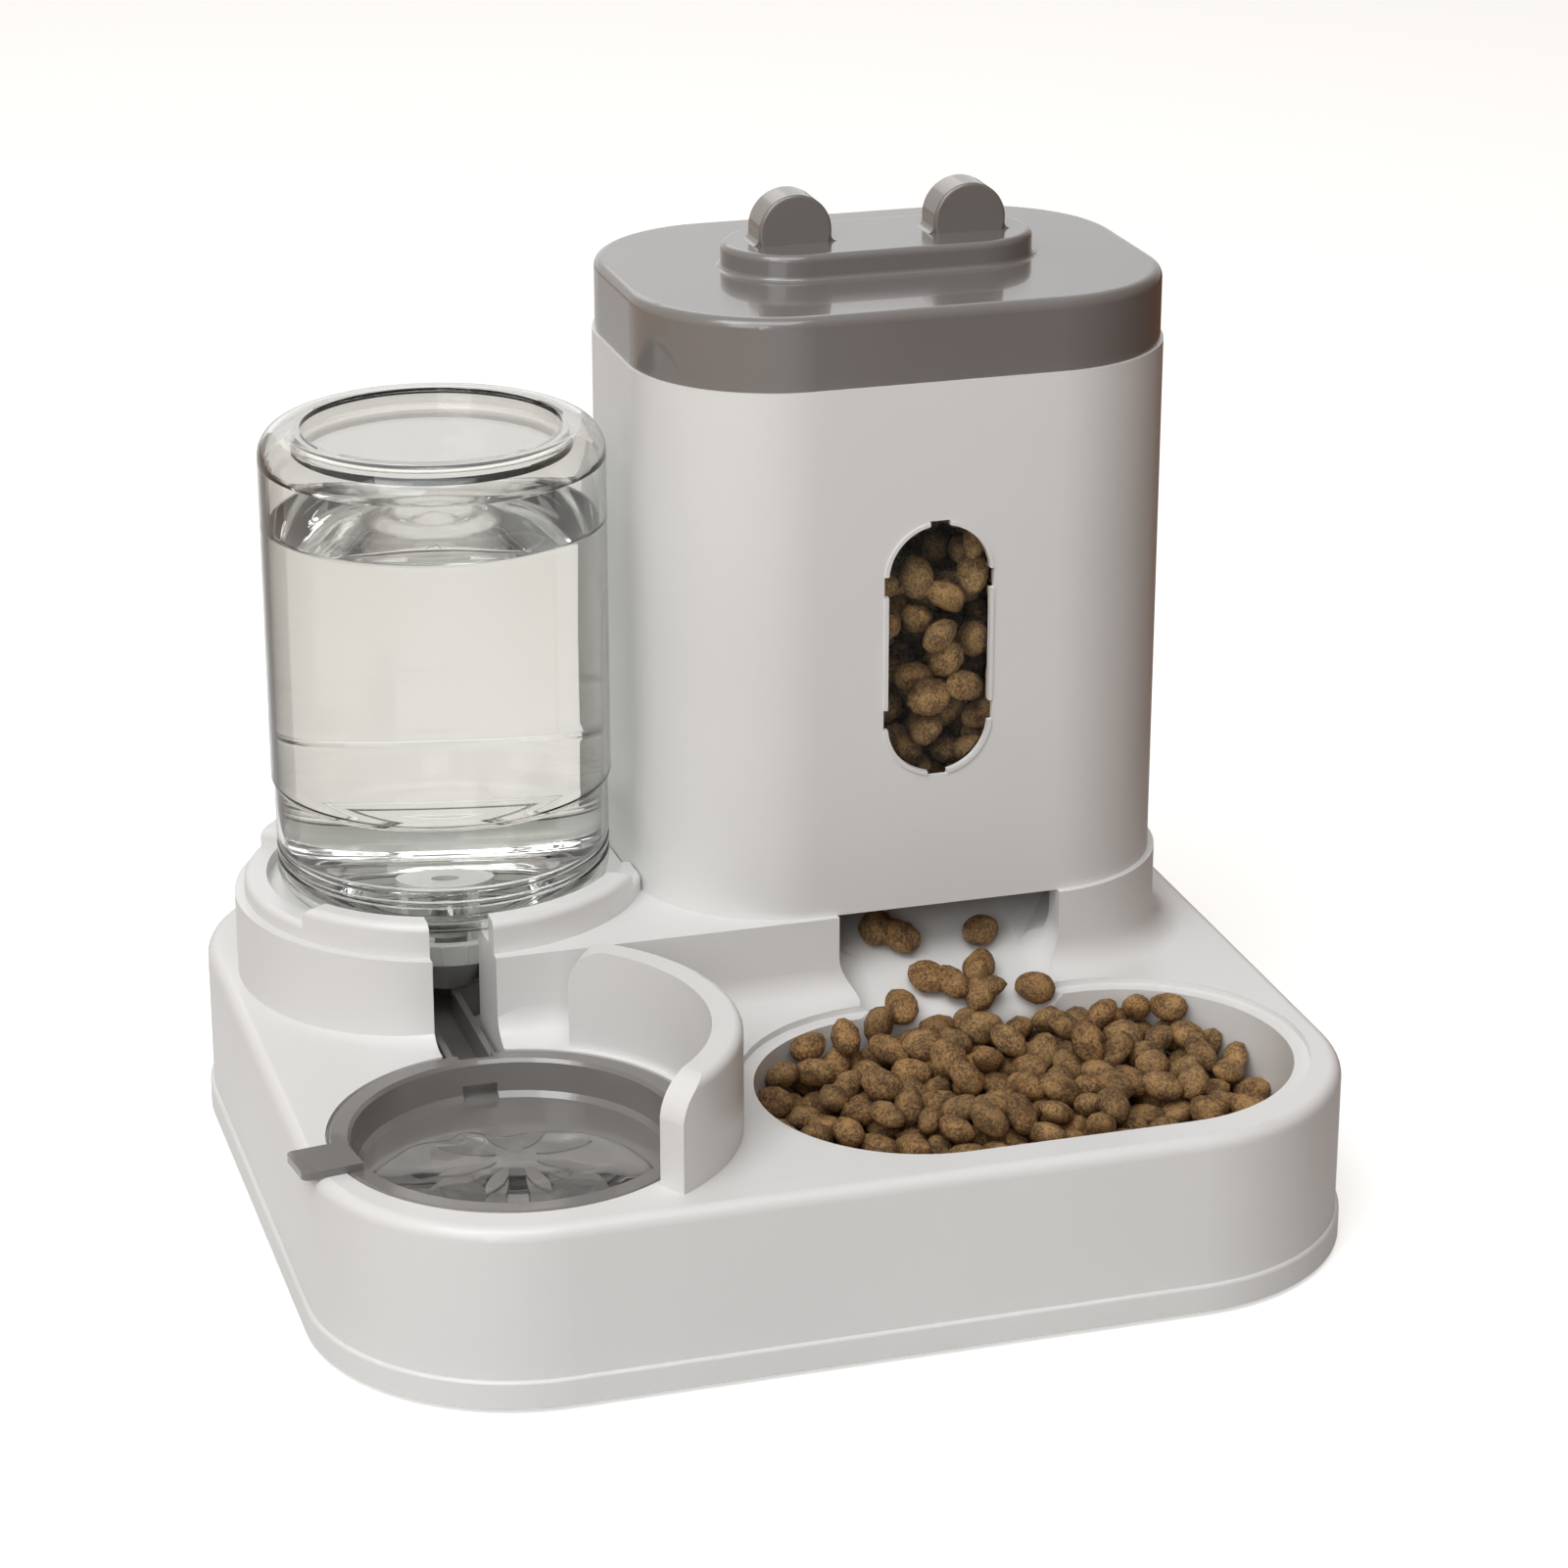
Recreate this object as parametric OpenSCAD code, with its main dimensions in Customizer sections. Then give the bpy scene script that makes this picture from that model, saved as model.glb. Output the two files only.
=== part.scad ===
// Gravity feeder and waterer for cats: a low tray with a food bowl and a water
// bowl in front, a food hopper with a lid behind, and an inverted water bottle
// in a round tower. Millimetres, +Z up, the middle of the tray at the origin,
// the floor at z = 0. Heights in the sections count from the tray's lower edge,
// which the rubber feet lift off the floor.

/* [Base tray] */
// Width over the foot band
base_w = 300; // [296:1:320]
// Depth over the foot band
base_d = 266; // [262:1:290]
// Corner radius of the foot band
base_r = 60; // [54:1:64]
// Height of the deck
deck_h = 52; // [48:0.5:58]
// Rounding of the deck's outer edge
deck_edge_r = 3.5; // [2:0.5:4]
// Wall thickness of the tray
tray_wall = 2.4; // [1.8:0.2:3]
// Height of the foot band
band_h = 8; // [6:0.5:10]
// How far the foot band stands proud of the wall
band_proud = 1.15; // [0.6:0.05:1.6]
// How far the rubber feet lift the tray
foot_drop = 1.5; // [1:0.25:3]
// Radius of a rubber foot
foot_r = 8; // [6:0.5:9]
// Distance of the feet from the tray's sides
foot_inset = 34; // [30:1:40]

/* [Food hopper] */
// Depth of the hopper
hopper_d = 120; // [110:1:124]
// Corner radius of the hopper, as a share of its width
hopper_round = 0.26875; // [0.24:0.00125:0.28]
// Height of the hopper's outer wall
hopper_h = 158; // [140:1:200]
// Wall thickness of the hopper
hopper_wall = 2.5; // [2:0.1:3]
// Free deck to the right of the hopper
hopper_side = 18; // [16:0.5:22]
// Free deck behind the hopper
hopper_back = 22; // [18:0.5:26]
// Depth of the hopper's spigot in its socket
spigot_h = 12; // [8:0.5:14]
// Inset of the spigot from the hopper's wall
spigot_inset = 4; // [3.6:0.1:4.4]
// Clearance of the spigot and of the lid rim
fit_gap = 0.4; // [0.3:0.05:0.5]

/* [Window] */
// Width of the window
window_w = 30.5; // [26:0.5:36]
// Height of the window
window_h = 74.6; // [60:0.2:90]
// Height of the window's middle
window_z = 156; // [140:1:165]
// Thickness of the clear lens
lens_t = 1.6; // [1.2:0.1:2]
// Width of a clip notch
notch_w = 6; // [4:0.5:8]

/* [Lid] */
// Height of the lid
lid_h = 21; // [16:0.5:26]
// Inset of the lid from the hopper's wall
lid_inset = 0.9; // [0.5:0.1:1.2]
// Wall thickness of the lid
lid_wall = 2; // [1.6:0.1:2.4]
// Edge rounding of the lid
lid_edge_r = 3; // [2:0.5:4]
// Length of the raised grip
grip_l = 93; // [84:1:100]
// Depth of the raised grip
grip_d = 39.5; // [34:0.5:46]
// Height of the raised grip
grip_h = 7.5; // [5:0.5:10]
// Radius of an ear
ear_r = 10.9; // [8:0.1:13]
// Thickness of an ear
ear_t = 12.5; // [9:0.5:16]
// Distance between the ears' middles
ear_pitch = 52.8; // [44:0.2:60]
// Height of an ear's centre over the grip
ear_rise = 3.5; // [2:0.5:6]

/* [Shelf and chute] */
// Height of the shelf under the hopper
shelf_h = 77; // [74:0.5:82]
// How far the shelf stands out past the hopper
shelf_edge = 2; // [1.5:0.1:2.5]
// Fillet between the shelf and the deck
shelf_fillet = 9; // [6:0.5:10]
// Width of the food outlet
chute_w = 68; // [56:1:76]
// Middle of the outlet, right of the hopper's middle
chute_shift = 4; // [0:0.5:6]
// Corner radius along the chute's floor
chute_r = 10; // [6:0.5:12]
// Slope of the chute
chute_angle = 26; // [22:0.5:30]
// Rounding of the chute's foot into the bowl
chute_foot = 8; // [6:0.5:9]
// Slope of the hopper floor's sides
side_angle = 30; // [26:1:34]

/* [Food bowl] */
// Radius of the bowl's ends
food_r = 46; // [42:0.5:47]
// Width of the step round the bowl
food_step = 4.5; // [3:0.5:5]
// Depth of the step
food_step_h = 2; // [1:0.25:3]
// Height of the bowl's floor
food_floor = 13; // [10:0.5:20]
// Rounding between the bowl's wall and floor
food_floor_r = 16; // [10:1:20]
// Deck to the right of the food bowl's step
food_side = 8.5; // [7:0.5:12]
// Deck between the splash guard and the food bowl's step
food_gap = 2.8; // [2:0.2:6]
// Distance of both bowls' middles from the front
bowl_row = 63.4; // [62:0.2:66]

/* [Water bowl] */
// Outer radius of the bowl's rim
rim_r = 51.2; // [48:0.1:52]
// Width of the rim
rim_w = 5.7; // [4.6:0.1:6.4]
// Thickness of the rim
rim_t = 2; // [1.6:0.1:2.4]
// Depth of the bowl
water_depth = 10.5; // [9.5:0.5:12]
// Lean of the bowl's wall
water_lean = 2.1; // [1:0.1:3]
// Wall thickness of the bowl
bowl_wall = 2; // [1.6:0.1:2.2]
// Gap round the bowl in the tray
bowl_gap = 0.6; // [0.4:0.1:0.8]
// Deck to the left of the rim
water_side = 9.5; // [8:0.5:12]
// Petals on the bowl's floor
petals = 8; // [5:1:10]
// Length of a petal
petal_l = 17; // [12:0.5:19]
// Height of a petal
petal_h = 0.8; // [0.5:0.1:1.2]
// Length of the lifting tab past the rim
tab_l = 12.3; // [10:0.1:14]
// Width of the tab
tab_w = 15; // [12:0.5:18]
// Thickness of the tab
tab_t = 2.2; // [1.8:0.1:2.6]
// Direction of the tab
tab_angle = 188; // [180:1:195]
// Inner width of the trough to the bottle
trough_w = 10; // [8:0.5:10.5]
// Inner radius of the well under the bottle
well_r = 19; // [15:0.5:22]
// Depth of the trough's top below the deck
trough_drop = 2.4; // [2:0.1:3]
// Radius of the post that lifts the valve
post_r = 4; // [3:0.25:4.5]

/* [Splash guard] */
// Gap between the rim and the guard
guard_gap = 2.8; // [2:0.2:4]
// Thickness of the guard
guard_t = 8.5; // [6:0.5:9]
// Height of the guard over the deck
guard_h = 30.8; // [24:0.2:36]
// First angle of the guard
guard_a0 = -58; // [-66:1:-50]
// Last angle of the guard
guard_a1 = 60; // [54:1:62]
// Rounding of the guard's ends
guard_end_r = 12; // [8:1:16]

/* [Bottle tower] */
// Middle of the tower, right of the water bowl's middle
tower_shift = 8; // [6:0.25:10]
// Height of the ledge that the bottle rests on
seat_h = 78; // [77.5:0.25:80]
// Inner radius of the ledge
seat_r = 39; // [36:0.5:40]
// Clearance round the bottle
bottle_play = 2.7; // [2.2:0.1:3.2]
// Wall thickness of the tower's ring
ring_t = 6.5; // [5.5:0.1:7]
// Height of the ring in the finger gaps
ring_h = 82; // [81:0.25:84]
// Height of the ring's raised parts
crown_h = 87; // [85.5:0.5:92]
// Width of the front slot
slot_w = 18; // [16:0.5:20]
// Half angle of a finger gap
finger_a = 34; // [24:1:38]

/* [Water bottle] */
// Radius of the bottle
bottle_r = 49.8; // [47:0.1:50.5]
// Height of the bottle over its shoulder
bottle_h = 139.5; // [120:0.5:170]
// Wall thickness of the bottle
bottle_wall = 2; // [1.4:0.1:2.2]
// Rounding at the bottle's base
base_round = 8; // [6:0.5:10]
// Radius of the dish in the bottle's base
dish_r = 37.5; // [30:0.5:39]
// Depth of the dish
dish_h = 4.5; // [3:0.5:6]
// Gap between the bottle and the hopper
bottle_gap = 3.5; // [3:0.1:6]
// Height of the narrower band above the shoulder
waist_h = 35; // [28:0.5:44]
// Step in to the narrower band
waist_step = 0.9; // [0.6:0.1:1.2]
// Rounding of the bottle's shoulder
shoulder_r = 7; // [5:0.5:7.5]
// Outer radius of the neck
neck_r = 25.5; // [22:0.5:27]
// Length of the neck
neck_l = 13.5; // [12:0.5:14]

/* [Cap and valve] */
// Height of the cap's side
cap_h = 6.5; // [6:0.25:9]
// Thickness of the cap
cap_t = 2; // [1.6:0.1:2.4]
// Thickness of the cap's gasket
gasket_t = 1.5; // [1:0.1:1.8]
// Outer radius of the nozzle
nozzle_r = 9; // [8.5:0.5:10.5]
// Height of the nozzle's mouth over the bowl's floor
mouth_rise = 4; // [3:0.25:4.5]
// Radius of the valve's stem
stem_r = 2.5; // [2:0.1:2.8]
// Lift of the open valve
valve_lift = 3; // [2:0.25:3.5]
// Radius of the valve's disc
disc_r = 7.5; // [7:0.1:8.5]
// Radius of the spring's wire
wire_r = 0.45; // [0.3:0.05:0.6]
// Turns of the spring
spring_turns = 6; // [4:1:8]

/* [Screws] */
// Radius of a screw's thread
screw_r = 1.5; // [1.25:0.25:1.75]
// Length of the thread
screw_l = 14; // [10:1:16]
// Radius of a screw's head
head_r = 3; // [2.5:0.25:3.25]
// Height of a screw's head
head_h = 2; // [1.5:0.25:2.5]
// How deep a screw's head lies under the cover post's top
head_in = 2.5; // [2:0.25:3]
// Radius of the tray's screw posts
boss_r = 4; // [3.5:0.25:4.5]
// Height of the cover's screw posts
boss_h = 7; // [6:0.5:8]

/* [Hidden] */
$fn = 72;
e = 0.01;
white = [0.84, 0.83, 0.82];
grey = [0.53, 0.50, 0.48];
clear = [0.80, 0.86, 0.88, 0.45];

run_gap = 0.06;             // running clearance of the valve's stem
seat_gap = 0.3;             // rest gap between a moving piece and its stop

wall_w = base_w - 2 * band_proud;
wall_d = base_d - 2 * band_proud;
wall_r = base_r - band_proud;

water_x = -base_w / 2 + water_side + rim_r;
tower_x = water_x + tower_shift;
hopper_w = base_w / 2 - hopper_side - tower_x - bottle_r - bottle_gap;
hopper_r = hopper_round * hopper_w;
hopper_x = base_w / 2 - hopper_side - hopper_w / 2;
hopper_y = base_d / 2 - hopper_back - hopper_d / 2;
hopper_top = shelf_h + hopper_h;
socket_inset = spigot_inset - fit_gap;
spigot_wall = hopper_wall - 0.3;
funnel_inset = spigot_inset + spigot_wall + fit_gap;

tower_y = hopper_y;
tower_r = hopper_d / 2 + shelf_edge;
bore_r = bottle_r + bottle_play;
ring_r = bore_r + ring_t;
shelf_y = tower_y - tower_r;
shelf_right = hopper_x + hopper_w / 2 + shelf_edge;
shelf_r = hopper_r + shelf_edge;
shelf_cx = shelf_right - shelf_r;
skirt_shift = max(0, tower_r + shelf_fillet + 0.5 - (tower_x + wall_w / 2 - deck_edge_r));

row_y = -base_d / 2 + bowl_row;
food_l = base_w / 2 - food_side - 2 * (food_step + food_r)
    - (water_x + rim_r + guard_gap + guard_t + food_gap);
food_x = base_w / 2 - food_side - food_step - food_r - food_l / 2;
bowl_in_r = rim_r - rim_w;
bowl_out_r = bowl_in_r + bowl_wall;
bowl_floor = deck_h - water_depth;
bowl_bot = bowl_floor - bowl_wall;
recess_floor = bowl_bot - seat_gap;
recess_r = bowl_out_r + bowl_gap;
trough_top = deck_h - trough_drop;
guard_r = rim_r + guard_gap;

chute_x = hopper_x + chute_shift;
chute_y = row_y + food_r;             // back of the food bowl
chute_z = deck_h - 4.6;               // chute floor at the back of the bowl
cheek_t = 3;
mouth_y = hopper_y - hopper_d / 2 + funnel_inset;
mouth_z = chute_z + (mouth_y - chute_y) * tan(chute_angle);
foot_y = chute_y + chute_foot - 0.12; // axis of the chute's rounded foot
foot_h = chute_z - (chute_foot - (foot_y - chute_y) * sin(chute_angle)) / cos(chute_angle);

cap_z = seat_h - neck_l - gasket_t - cap_t;
cap_r = neck_r + seat_gap + cap_t + 0.2;
mouth_h = bowl_floor + mouth_rise;
post_top = mouth_h + 1.5;
foot_z = post_top + seat_gap;
seal_z = cap_z + cap_t + valve_lift;
seal_t = 1.2;
disc_t = 2;
hub_z = foot_z + 2 + valve_lift + 0.7;
spring_z = seal_z + seal_t + disc_t;
cage_z = spring_z + 13;
cage_r = disc_r + 1;

// the lifting tab reaches past the tray's left side, and the origin lies under
// the middle of the whole outline
tab_tip = water_x + (rim_r + tab_l - 2) * cos(tab_angle)
    - abs((tab_w / 2 - 2) * sin(tab_angle)) - 2;
shift_x = -(min(-base_w / 2, tab_tip) + base_w / 2) / 2;

module lifted() { translate([shift_x, 0, foot_drop]) children(); }

// ---------- shared shapes ----------

module rr(w, d, r) {
    square([w - 2 * r, d], center = true);
    square([w, d - 2 * r], center = true);
    for (sx = [-1, 1], sy = [-1, 1])
        translate([sx * (w / 2 - r), sy * (d / 2 - r)]) circle(r);
}

module stadium(l, r) {
    square([l, 2 * r], center = true);
    for (s = [-1, 1]) translate([s * l / 2, 0]) circle(r);
}

module hopper_rr(o) {
    translate([hopper_x, hopper_y])
        rr(hopper_w + 2 * o, hopper_d + 2 * o, hopper_r + o);
}

module hopper_prism(o, z0, z1) {
    translate([0, 0, z0]) linear_extrude(z1 - z0) hopper_rr(o);
}

// sweeps a profile round a rounded rectangle, and fills its middle; the
// profile's x counts from the corner's centre
module swept_rr(w, d, r, z0, z1) {
    for (i = [0:3]) {
        out = i % 2 == 0 ? w / 2 - r : d / 2 - r;
        half = i % 2 == 0 ? d / 2 - r : w / 2 - r;
        rotate(90 * i) translate([out, half, 0]) {
            rotate_extrude(angle = 90) children();
            if (half > 0.01)
                rotate([90, 0, 0]) linear_extrude(2 * half) children();
        }
    }
    if (w > 2 * r + 0.01 && d > 2 * r + 0.01)
        translate([r - w / 2, r - d / 2, z0]) cube([w - 2 * r, d - 2 * r, z1 - z0]);
}

// block in profile: square foot, rounded top edge
module edged(reach, z0, z1, er) {
    translate([0, z0]) square([reach, z1 - z0 - er]);
    translate([0, z0]) square([reach - er, z1 - z0]);
    translate([reach - er, z1 - er]) circle(er);
}

// concave fillet at the foot of a wall
module foot_fillet(reach, z0, r) {
    translate([reach - 0.5, z0 - 0.5]) difference() {
        square([r + 0.5, r + 0.5]);
        translate([r + 0.5, r + 0.5]) circle(r);
    }
}

// ring sector with a profile rounded at the top
module ring_wall(ri, ro, z0, z1, a0, a1, er) {
    rotate(a0) rotate_extrude(angle = a1 - a0) difference() {
        translate([ri, z0]) square([ro - ri, z1 - z0]);
        translate([ro - er, z1 - er]) difference() {
            square(er + 1);
            circle(er);
        }
    }
}

// cuts the upper corner at the end of a ring sector to a radius; s = 1 at the
// sector's last angle, -1 at its first
module end_round(ri, ro, z1, a, s, r) {
    ease = 0.06;
    rotate(a) difference() {
        translate([ri - 3, s > 0 ? -r : -2, z1 - r + ease]) cube([ro - ri + 6, r + 2, r + 2]);
        translate([ri - 4, s * (ease - r), z1 - r + ease]) rotate([0, 90, 0])
            cylinder(r = r, h = ro - ri + 8);
    }
}

module at_tower() { translate([tower_x, tower_y, 0]) children(); }
module at_water() { translate([water_x, row_y, 0]) children(); }

screw_in = wall_r - tray_wall - 2 - boss_r - 0.7;
screw_at = [
    for (sx = [-1, 1], sy = [-1, 1])
        [sx * (wall_w / 2 - wall_r + 0.37 * screw_in), sy * (wall_d / 2 - wall_r + 0.93 * screw_in)],
    [(water_x + guard_r + guard_t + food_x - food_l / 2 - food_r) / 2, row_y - 0.8 * food_r],
    [hopper_x - hopper_w / 4, wall_d / 2 - 10]
];
// ---------- base tray ----------

module shelf_prism(o, z0, z1) {
    hd = tower_r + o;
    translate([0, 0, z0]) linear_extrude(z1 - z0) {
        translate([tower_x, tower_y]) circle(hd);
        translate([tower_x, tower_y - hd]) square([shelf_cx - tower_x, 2 * hd]);
        translate([shelf_cx, tower_y - hd + shelf_r + o])
            square([shelf_r + o, 2 * (hd - shelf_r - o)]);
        for (s = [-1, 1])
            translate([shelf_cx, tower_y + s * (tower_r - shelf_r)]) circle(shelf_r + o);
    }
}

// the fillet that runs round the tower, the shelf and the hopper's socket
module shelf_skirt() {
    cx = tower_x + skirt_shift;
    dy = tower_r - shelf_r;
    translate([cx, tower_y, 0]) rotate(90) rotate_extrude(angle = 180)
        foot_fillet(tower_r, deck_h, shelf_fillet);
    for (s = [0, 1]) translate([0, tower_y, 0]) mirror([0, s, 0]) {
        translate([cx, 0, 0]) rotate([90, 0, 90])
            linear_extrude(shelf_cx - cx) foot_fillet(tower_r, deck_h, shelf_fillet);
        translate([shelf_cx, dy, 0]) rotate_extrude(angle = 90)
            foot_fillet(shelf_r, deck_h, shelf_fillet);
    }
    translate([shelf_cx, tower_y + dy, 0]) rotate([90, 0, 0])
        linear_extrude(2 * dy) foot_fillet(shelf_r, deck_h, shelf_fillet);
}

module tower_ring() {
    er = 2;
    open_a = 15;    // left open towards the hopper
    at_tower() {
        translate([0, 0, shelf_h - 1]) cylinder(r = bore_r + 1, h = seat_h - shelf_h + 1);
        difference() {
            ring_wall(bore_r - 1, ring_r, shelf_h - 1, crown_h, open_a, 360 - open_a, 2.5);
            for (a = [0, 180]) rotate(a - finger_a) rotate_extrude(angle = 2 * finger_a) {
                translate([bore_r - 2, ring_h]) square([ring_t + 5, crown_h]);
                translate([ring_r - er, ring_h - er]) difference() {
                    square([er + 3, er + 1]);
                    circle(er);
                }
            }
            for (a = [[finger_a, -1], [180 - finger_a, 1], [180 + finger_a, -1], [360 - finger_a, 1]])
                end_round(bore_r, ring_r, crown_h, a[0], a[1], crown_h - ring_h - 1);
        }
    }
}

module splash_guard() {
    at_water() difference() {
        ring_wall(guard_r, guard_r + guard_t, deck_h - 1, deck_h + guard_h, guard_a0, guard_a1, 2.5);
        end_round(guard_r, guard_r + guard_t, deck_h + guard_h, guard_a0, -1, guard_end_r);
        end_round(guard_r, guard_r + guard_t, deck_h + guard_h, guard_a1, 1, guard_end_r);
    }
}

// space of the food bowl, grown by o
module food_space(o) {
    r = food_r + o;
    fr = food_floor_r + o;
    z0 = food_floor - o;
    translate([food_x, row_y, 0])
        swept_rr(food_l + 2 * r, 2 * r, r, z0, deck_h + 1) {
            translate([0, z0 + fr]) square([r, deck_h + 1 - z0 - fr]);
            translate([0, z0]) square([r - fr, fr + 1]);
            translate([r - fr, z0 + fr]) circle(fr);
        }
}

// U-shaped channel, grown by o; its floor runs chute_foot over the origin
module chute_2d(o, h) {
    translate([0, -chute_foot]) {
        translate([-chute_w / 2 - o, -h]) square([chute_w + 2 * o, h - chute_r]);
        translate([-chute_w / 2 + chute_r, -h]) square([chute_w - 2 * chute_r, h + o]);
        for (s = [-1, 1])
            translate([s * (chute_w / 2 - chute_r), -chute_r]) circle(chute_r + o);
    }
}

// the channel down the chute, bent over its foot into the bowl
module chute_space(o) {
    translate([chute_x, foot_y, foot_h]) {
        rotate([chute_angle - 90, 0, 0]) linear_extrude(hopper_d / 2) chute_2d(o, shelf_h);
        rotate([90, 0, 90]) rotate(90 + chute_angle) rotate_extrude(angle = 90 - chute_angle)
            rotate(90) chute_2d(o, food_r);
    }
}

// space over the sloping floor in the hopper
module funnel_space(drop) {
    far = base_d;
    top = mouth_z + far;
    z0 = mouth_z + 0.05;    // a hair over the chute's floor
    intersection() {
        translate([-far, 0, -drop]) rotate([90, 0, 90]) linear_extrude(2 * far)
            polygon([[mouth_y - spigot_h, z0 - spigot_h * tan(chute_angle)],
                [mouth_y + far, z0 + far * tan(chute_angle)],
                [mouth_y + far, top], [mouth_y - spigot_h, top]]);
        translate([0, far, -drop]) rotate([90, 0, 0]) linear_extrude(2 * far)
            polygon([[chute_x - chute_w / 2 + chute_r, mouth_z - 20],
                [chute_x - chute_w / 2 + chute_r, mouth_z],
                [chute_x - chute_w / 2 + chute_r - far, mouth_z + far * tan(side_angle)],
                [chute_x - far, top], [chute_x + far, top],
                [chute_x + chute_w / 2 - chute_r + far, mouth_z + far * tan(side_angle)],
                [chute_x + chute_w / 2 - chute_r, mouth_z],
                [chute_x + chute_w / 2 - chute_r, mouth_z - 20]]);
    }
}

// the sloping floor, a block with the funnel cut from it
funnel_top = chute_z + (hopper_y + hopper_d / 2 - funnel_inset - chute_y) * tan(chute_angle);

module base_tray() {
    color(white) lifted() difference() {
        union() {
            difference() {
                union() {
                    swept_rr(wall_w, wall_d, wall_r, band_h, deck_h)
                        edged(wall_r, band_h, deck_h, deck_edge_r);
                    shelf_prism(0, deck_h - 1, shelf_h);
                    shelf_skirt();
                    splash_guard();
                    tower_ring();
                }
                translate([0, 0, band_h - 1]) linear_extrude(deck_h - tray_wall - band_h + 1)
                    rr(wall_w - 2 * tray_wall, wall_d - 2 * tray_wall, wall_r - tray_wall);
                shelf_prism(-tray_wall, deck_h - tray_wall - 1, shelf_h - tray_wall);
                difference() {
                    hopper_prism(-socket_inset, shelf_h - spigot_h, shelf_h + 1);
                    translate([chute_x - chute_w / 2 - cheek_t, shelf_y, 0])
                        cube([chute_w + 2 * cheek_t, mouth_y - shelf_y + 0.5, shelf_h]);
                }
                hopper_prism(fit_gap, shelf_h, crown_h + 1);
            }
            tray_shells();
        }
        tray_spaces();
        for (p = screw_at) translate([p[0], p[1], 0])
            cylinder(r = screw_r + run_gap, h = 20);
    }
}

// the solid walls round the tray's wells, inside its hollow
module tray_shells() {
    intersection() {
        union() {
            food_space(tray_wall);
            at_water() translate([0, 0, recess_floor - tray_wall])
                cylinder(r = recess_r + tray_wall, h = deck_h - recess_floor);
            at_tower() translate([0, 0, recess_floor - tray_wall])
                cylinder(r = seat_r + tray_wall, h = shelf_h - recess_floor);
            translate([water_x - slot_w / 2 - tray_wall, row_y, recess_floor - tray_wall])
                cube([slot_w + 2 * tray_wall, tower_y - row_y, shelf_h - recess_floor]);
        }
        union() {
            translate([0, 0, band_h]) linear_extrude(deck_h - 1 - band_h)
                rr(wall_w - 2, wall_d - 2, wall_r - 1);
            shelf_prism(-1, deck_h - 2, shelf_h - 1);
        }
    }
    // sloping floor under the hopper, and the walls of its socket
    difference() {
        union() {
            hopper_prism(-funnel_inset, deck_h - 20, funnel_top);
            hopper_prism(-socket_inset + tray_wall, shelf_h - spigot_h - tray_wall, shelf_h - 1);
        }
        difference() {
            hopper_prism(-socket_inset, shelf_h - spigot_h, shelf_h + 1);
            hopper_prism(-funnel_inset, shelf_h - spigot_h - 1, shelf_h + 2);
            translate([chute_x - chute_w / 2 - cheek_t, shelf_y, 0])
                cube([chute_w + 2 * cheek_t, mouth_y - shelf_y + 5, shelf_h]);
        }
        difference() {
            hopper_prism(-funnel_inset - tray_wall, deck_h - 21, funnel_top + 1);
            funnel_space(tray_wall / cos(side_angle));
        }
    }
    // floor and cheeks of the chute, from the bowl's wall to the hopper
    intersection() {
        chute_space(cheek_t);
        translate([chute_x - chute_w / 2 - cheek_t, chute_y + 1, 0]) {
            translate([0, 0, food_floor]) cube([chute_w + 2 * cheek_t, mouth_y - chute_y, deck_h - 1 - food_floor]);
            translate([0, shelf_y - chute_y, food_floor])
                cube([chute_w + 2 * cheek_t, mouth_y - shelf_y, shelf_h - 1 - food_floor]);
        }
    }
    for (p = screw_at) translate([p[0], p[1], boss_h])
        cylinder(r = boss_r, h = deck_h - 1 - boss_h);
}

module tray_spaces() {
    food_space(0);
    translate([food_x, row_y, deck_h - food_step_h]) linear_extrude(food_step_h + 1)
        stadium(food_l, food_r + food_step);
    at_water() {
        translate([0, 0, recess_floor]) cylinder(r = recess_r, h = deck_h);
        translate([0, 0, deck_h - rim_t]) cylinder(r = rim_r + bowl_gap, h = guard_h);
    }
    at_tower() {
        translate([0, 0, recess_floor]) cylinder(r = seat_r, h = crown_h);
        translate([0, 0, seat_h]) cylinder(r = bore_r, h = crown_h);
    }
    translate([water_x - slot_w / 2, row_y, recess_floor])
        cube([slot_w, tower_y - row_y, crown_h]);
    intersection() {
        chute_space(0);
        union() {
            hopper_prism(-funnel_inset, 0, hopper_top);
            translate([chute_x - chute_w, row_y, 0])
                cube([2 * chute_w, mouth_y - row_y + 0.5, shelf_h + 1]);
        }
    }
    intersection() {
        funnel_space(0);
        hopper_prism(-funnel_inset + e, mouth_z - 20, funnel_top + 2);
    }
}

// ---------- bottom cover, screws and feet ----------

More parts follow.
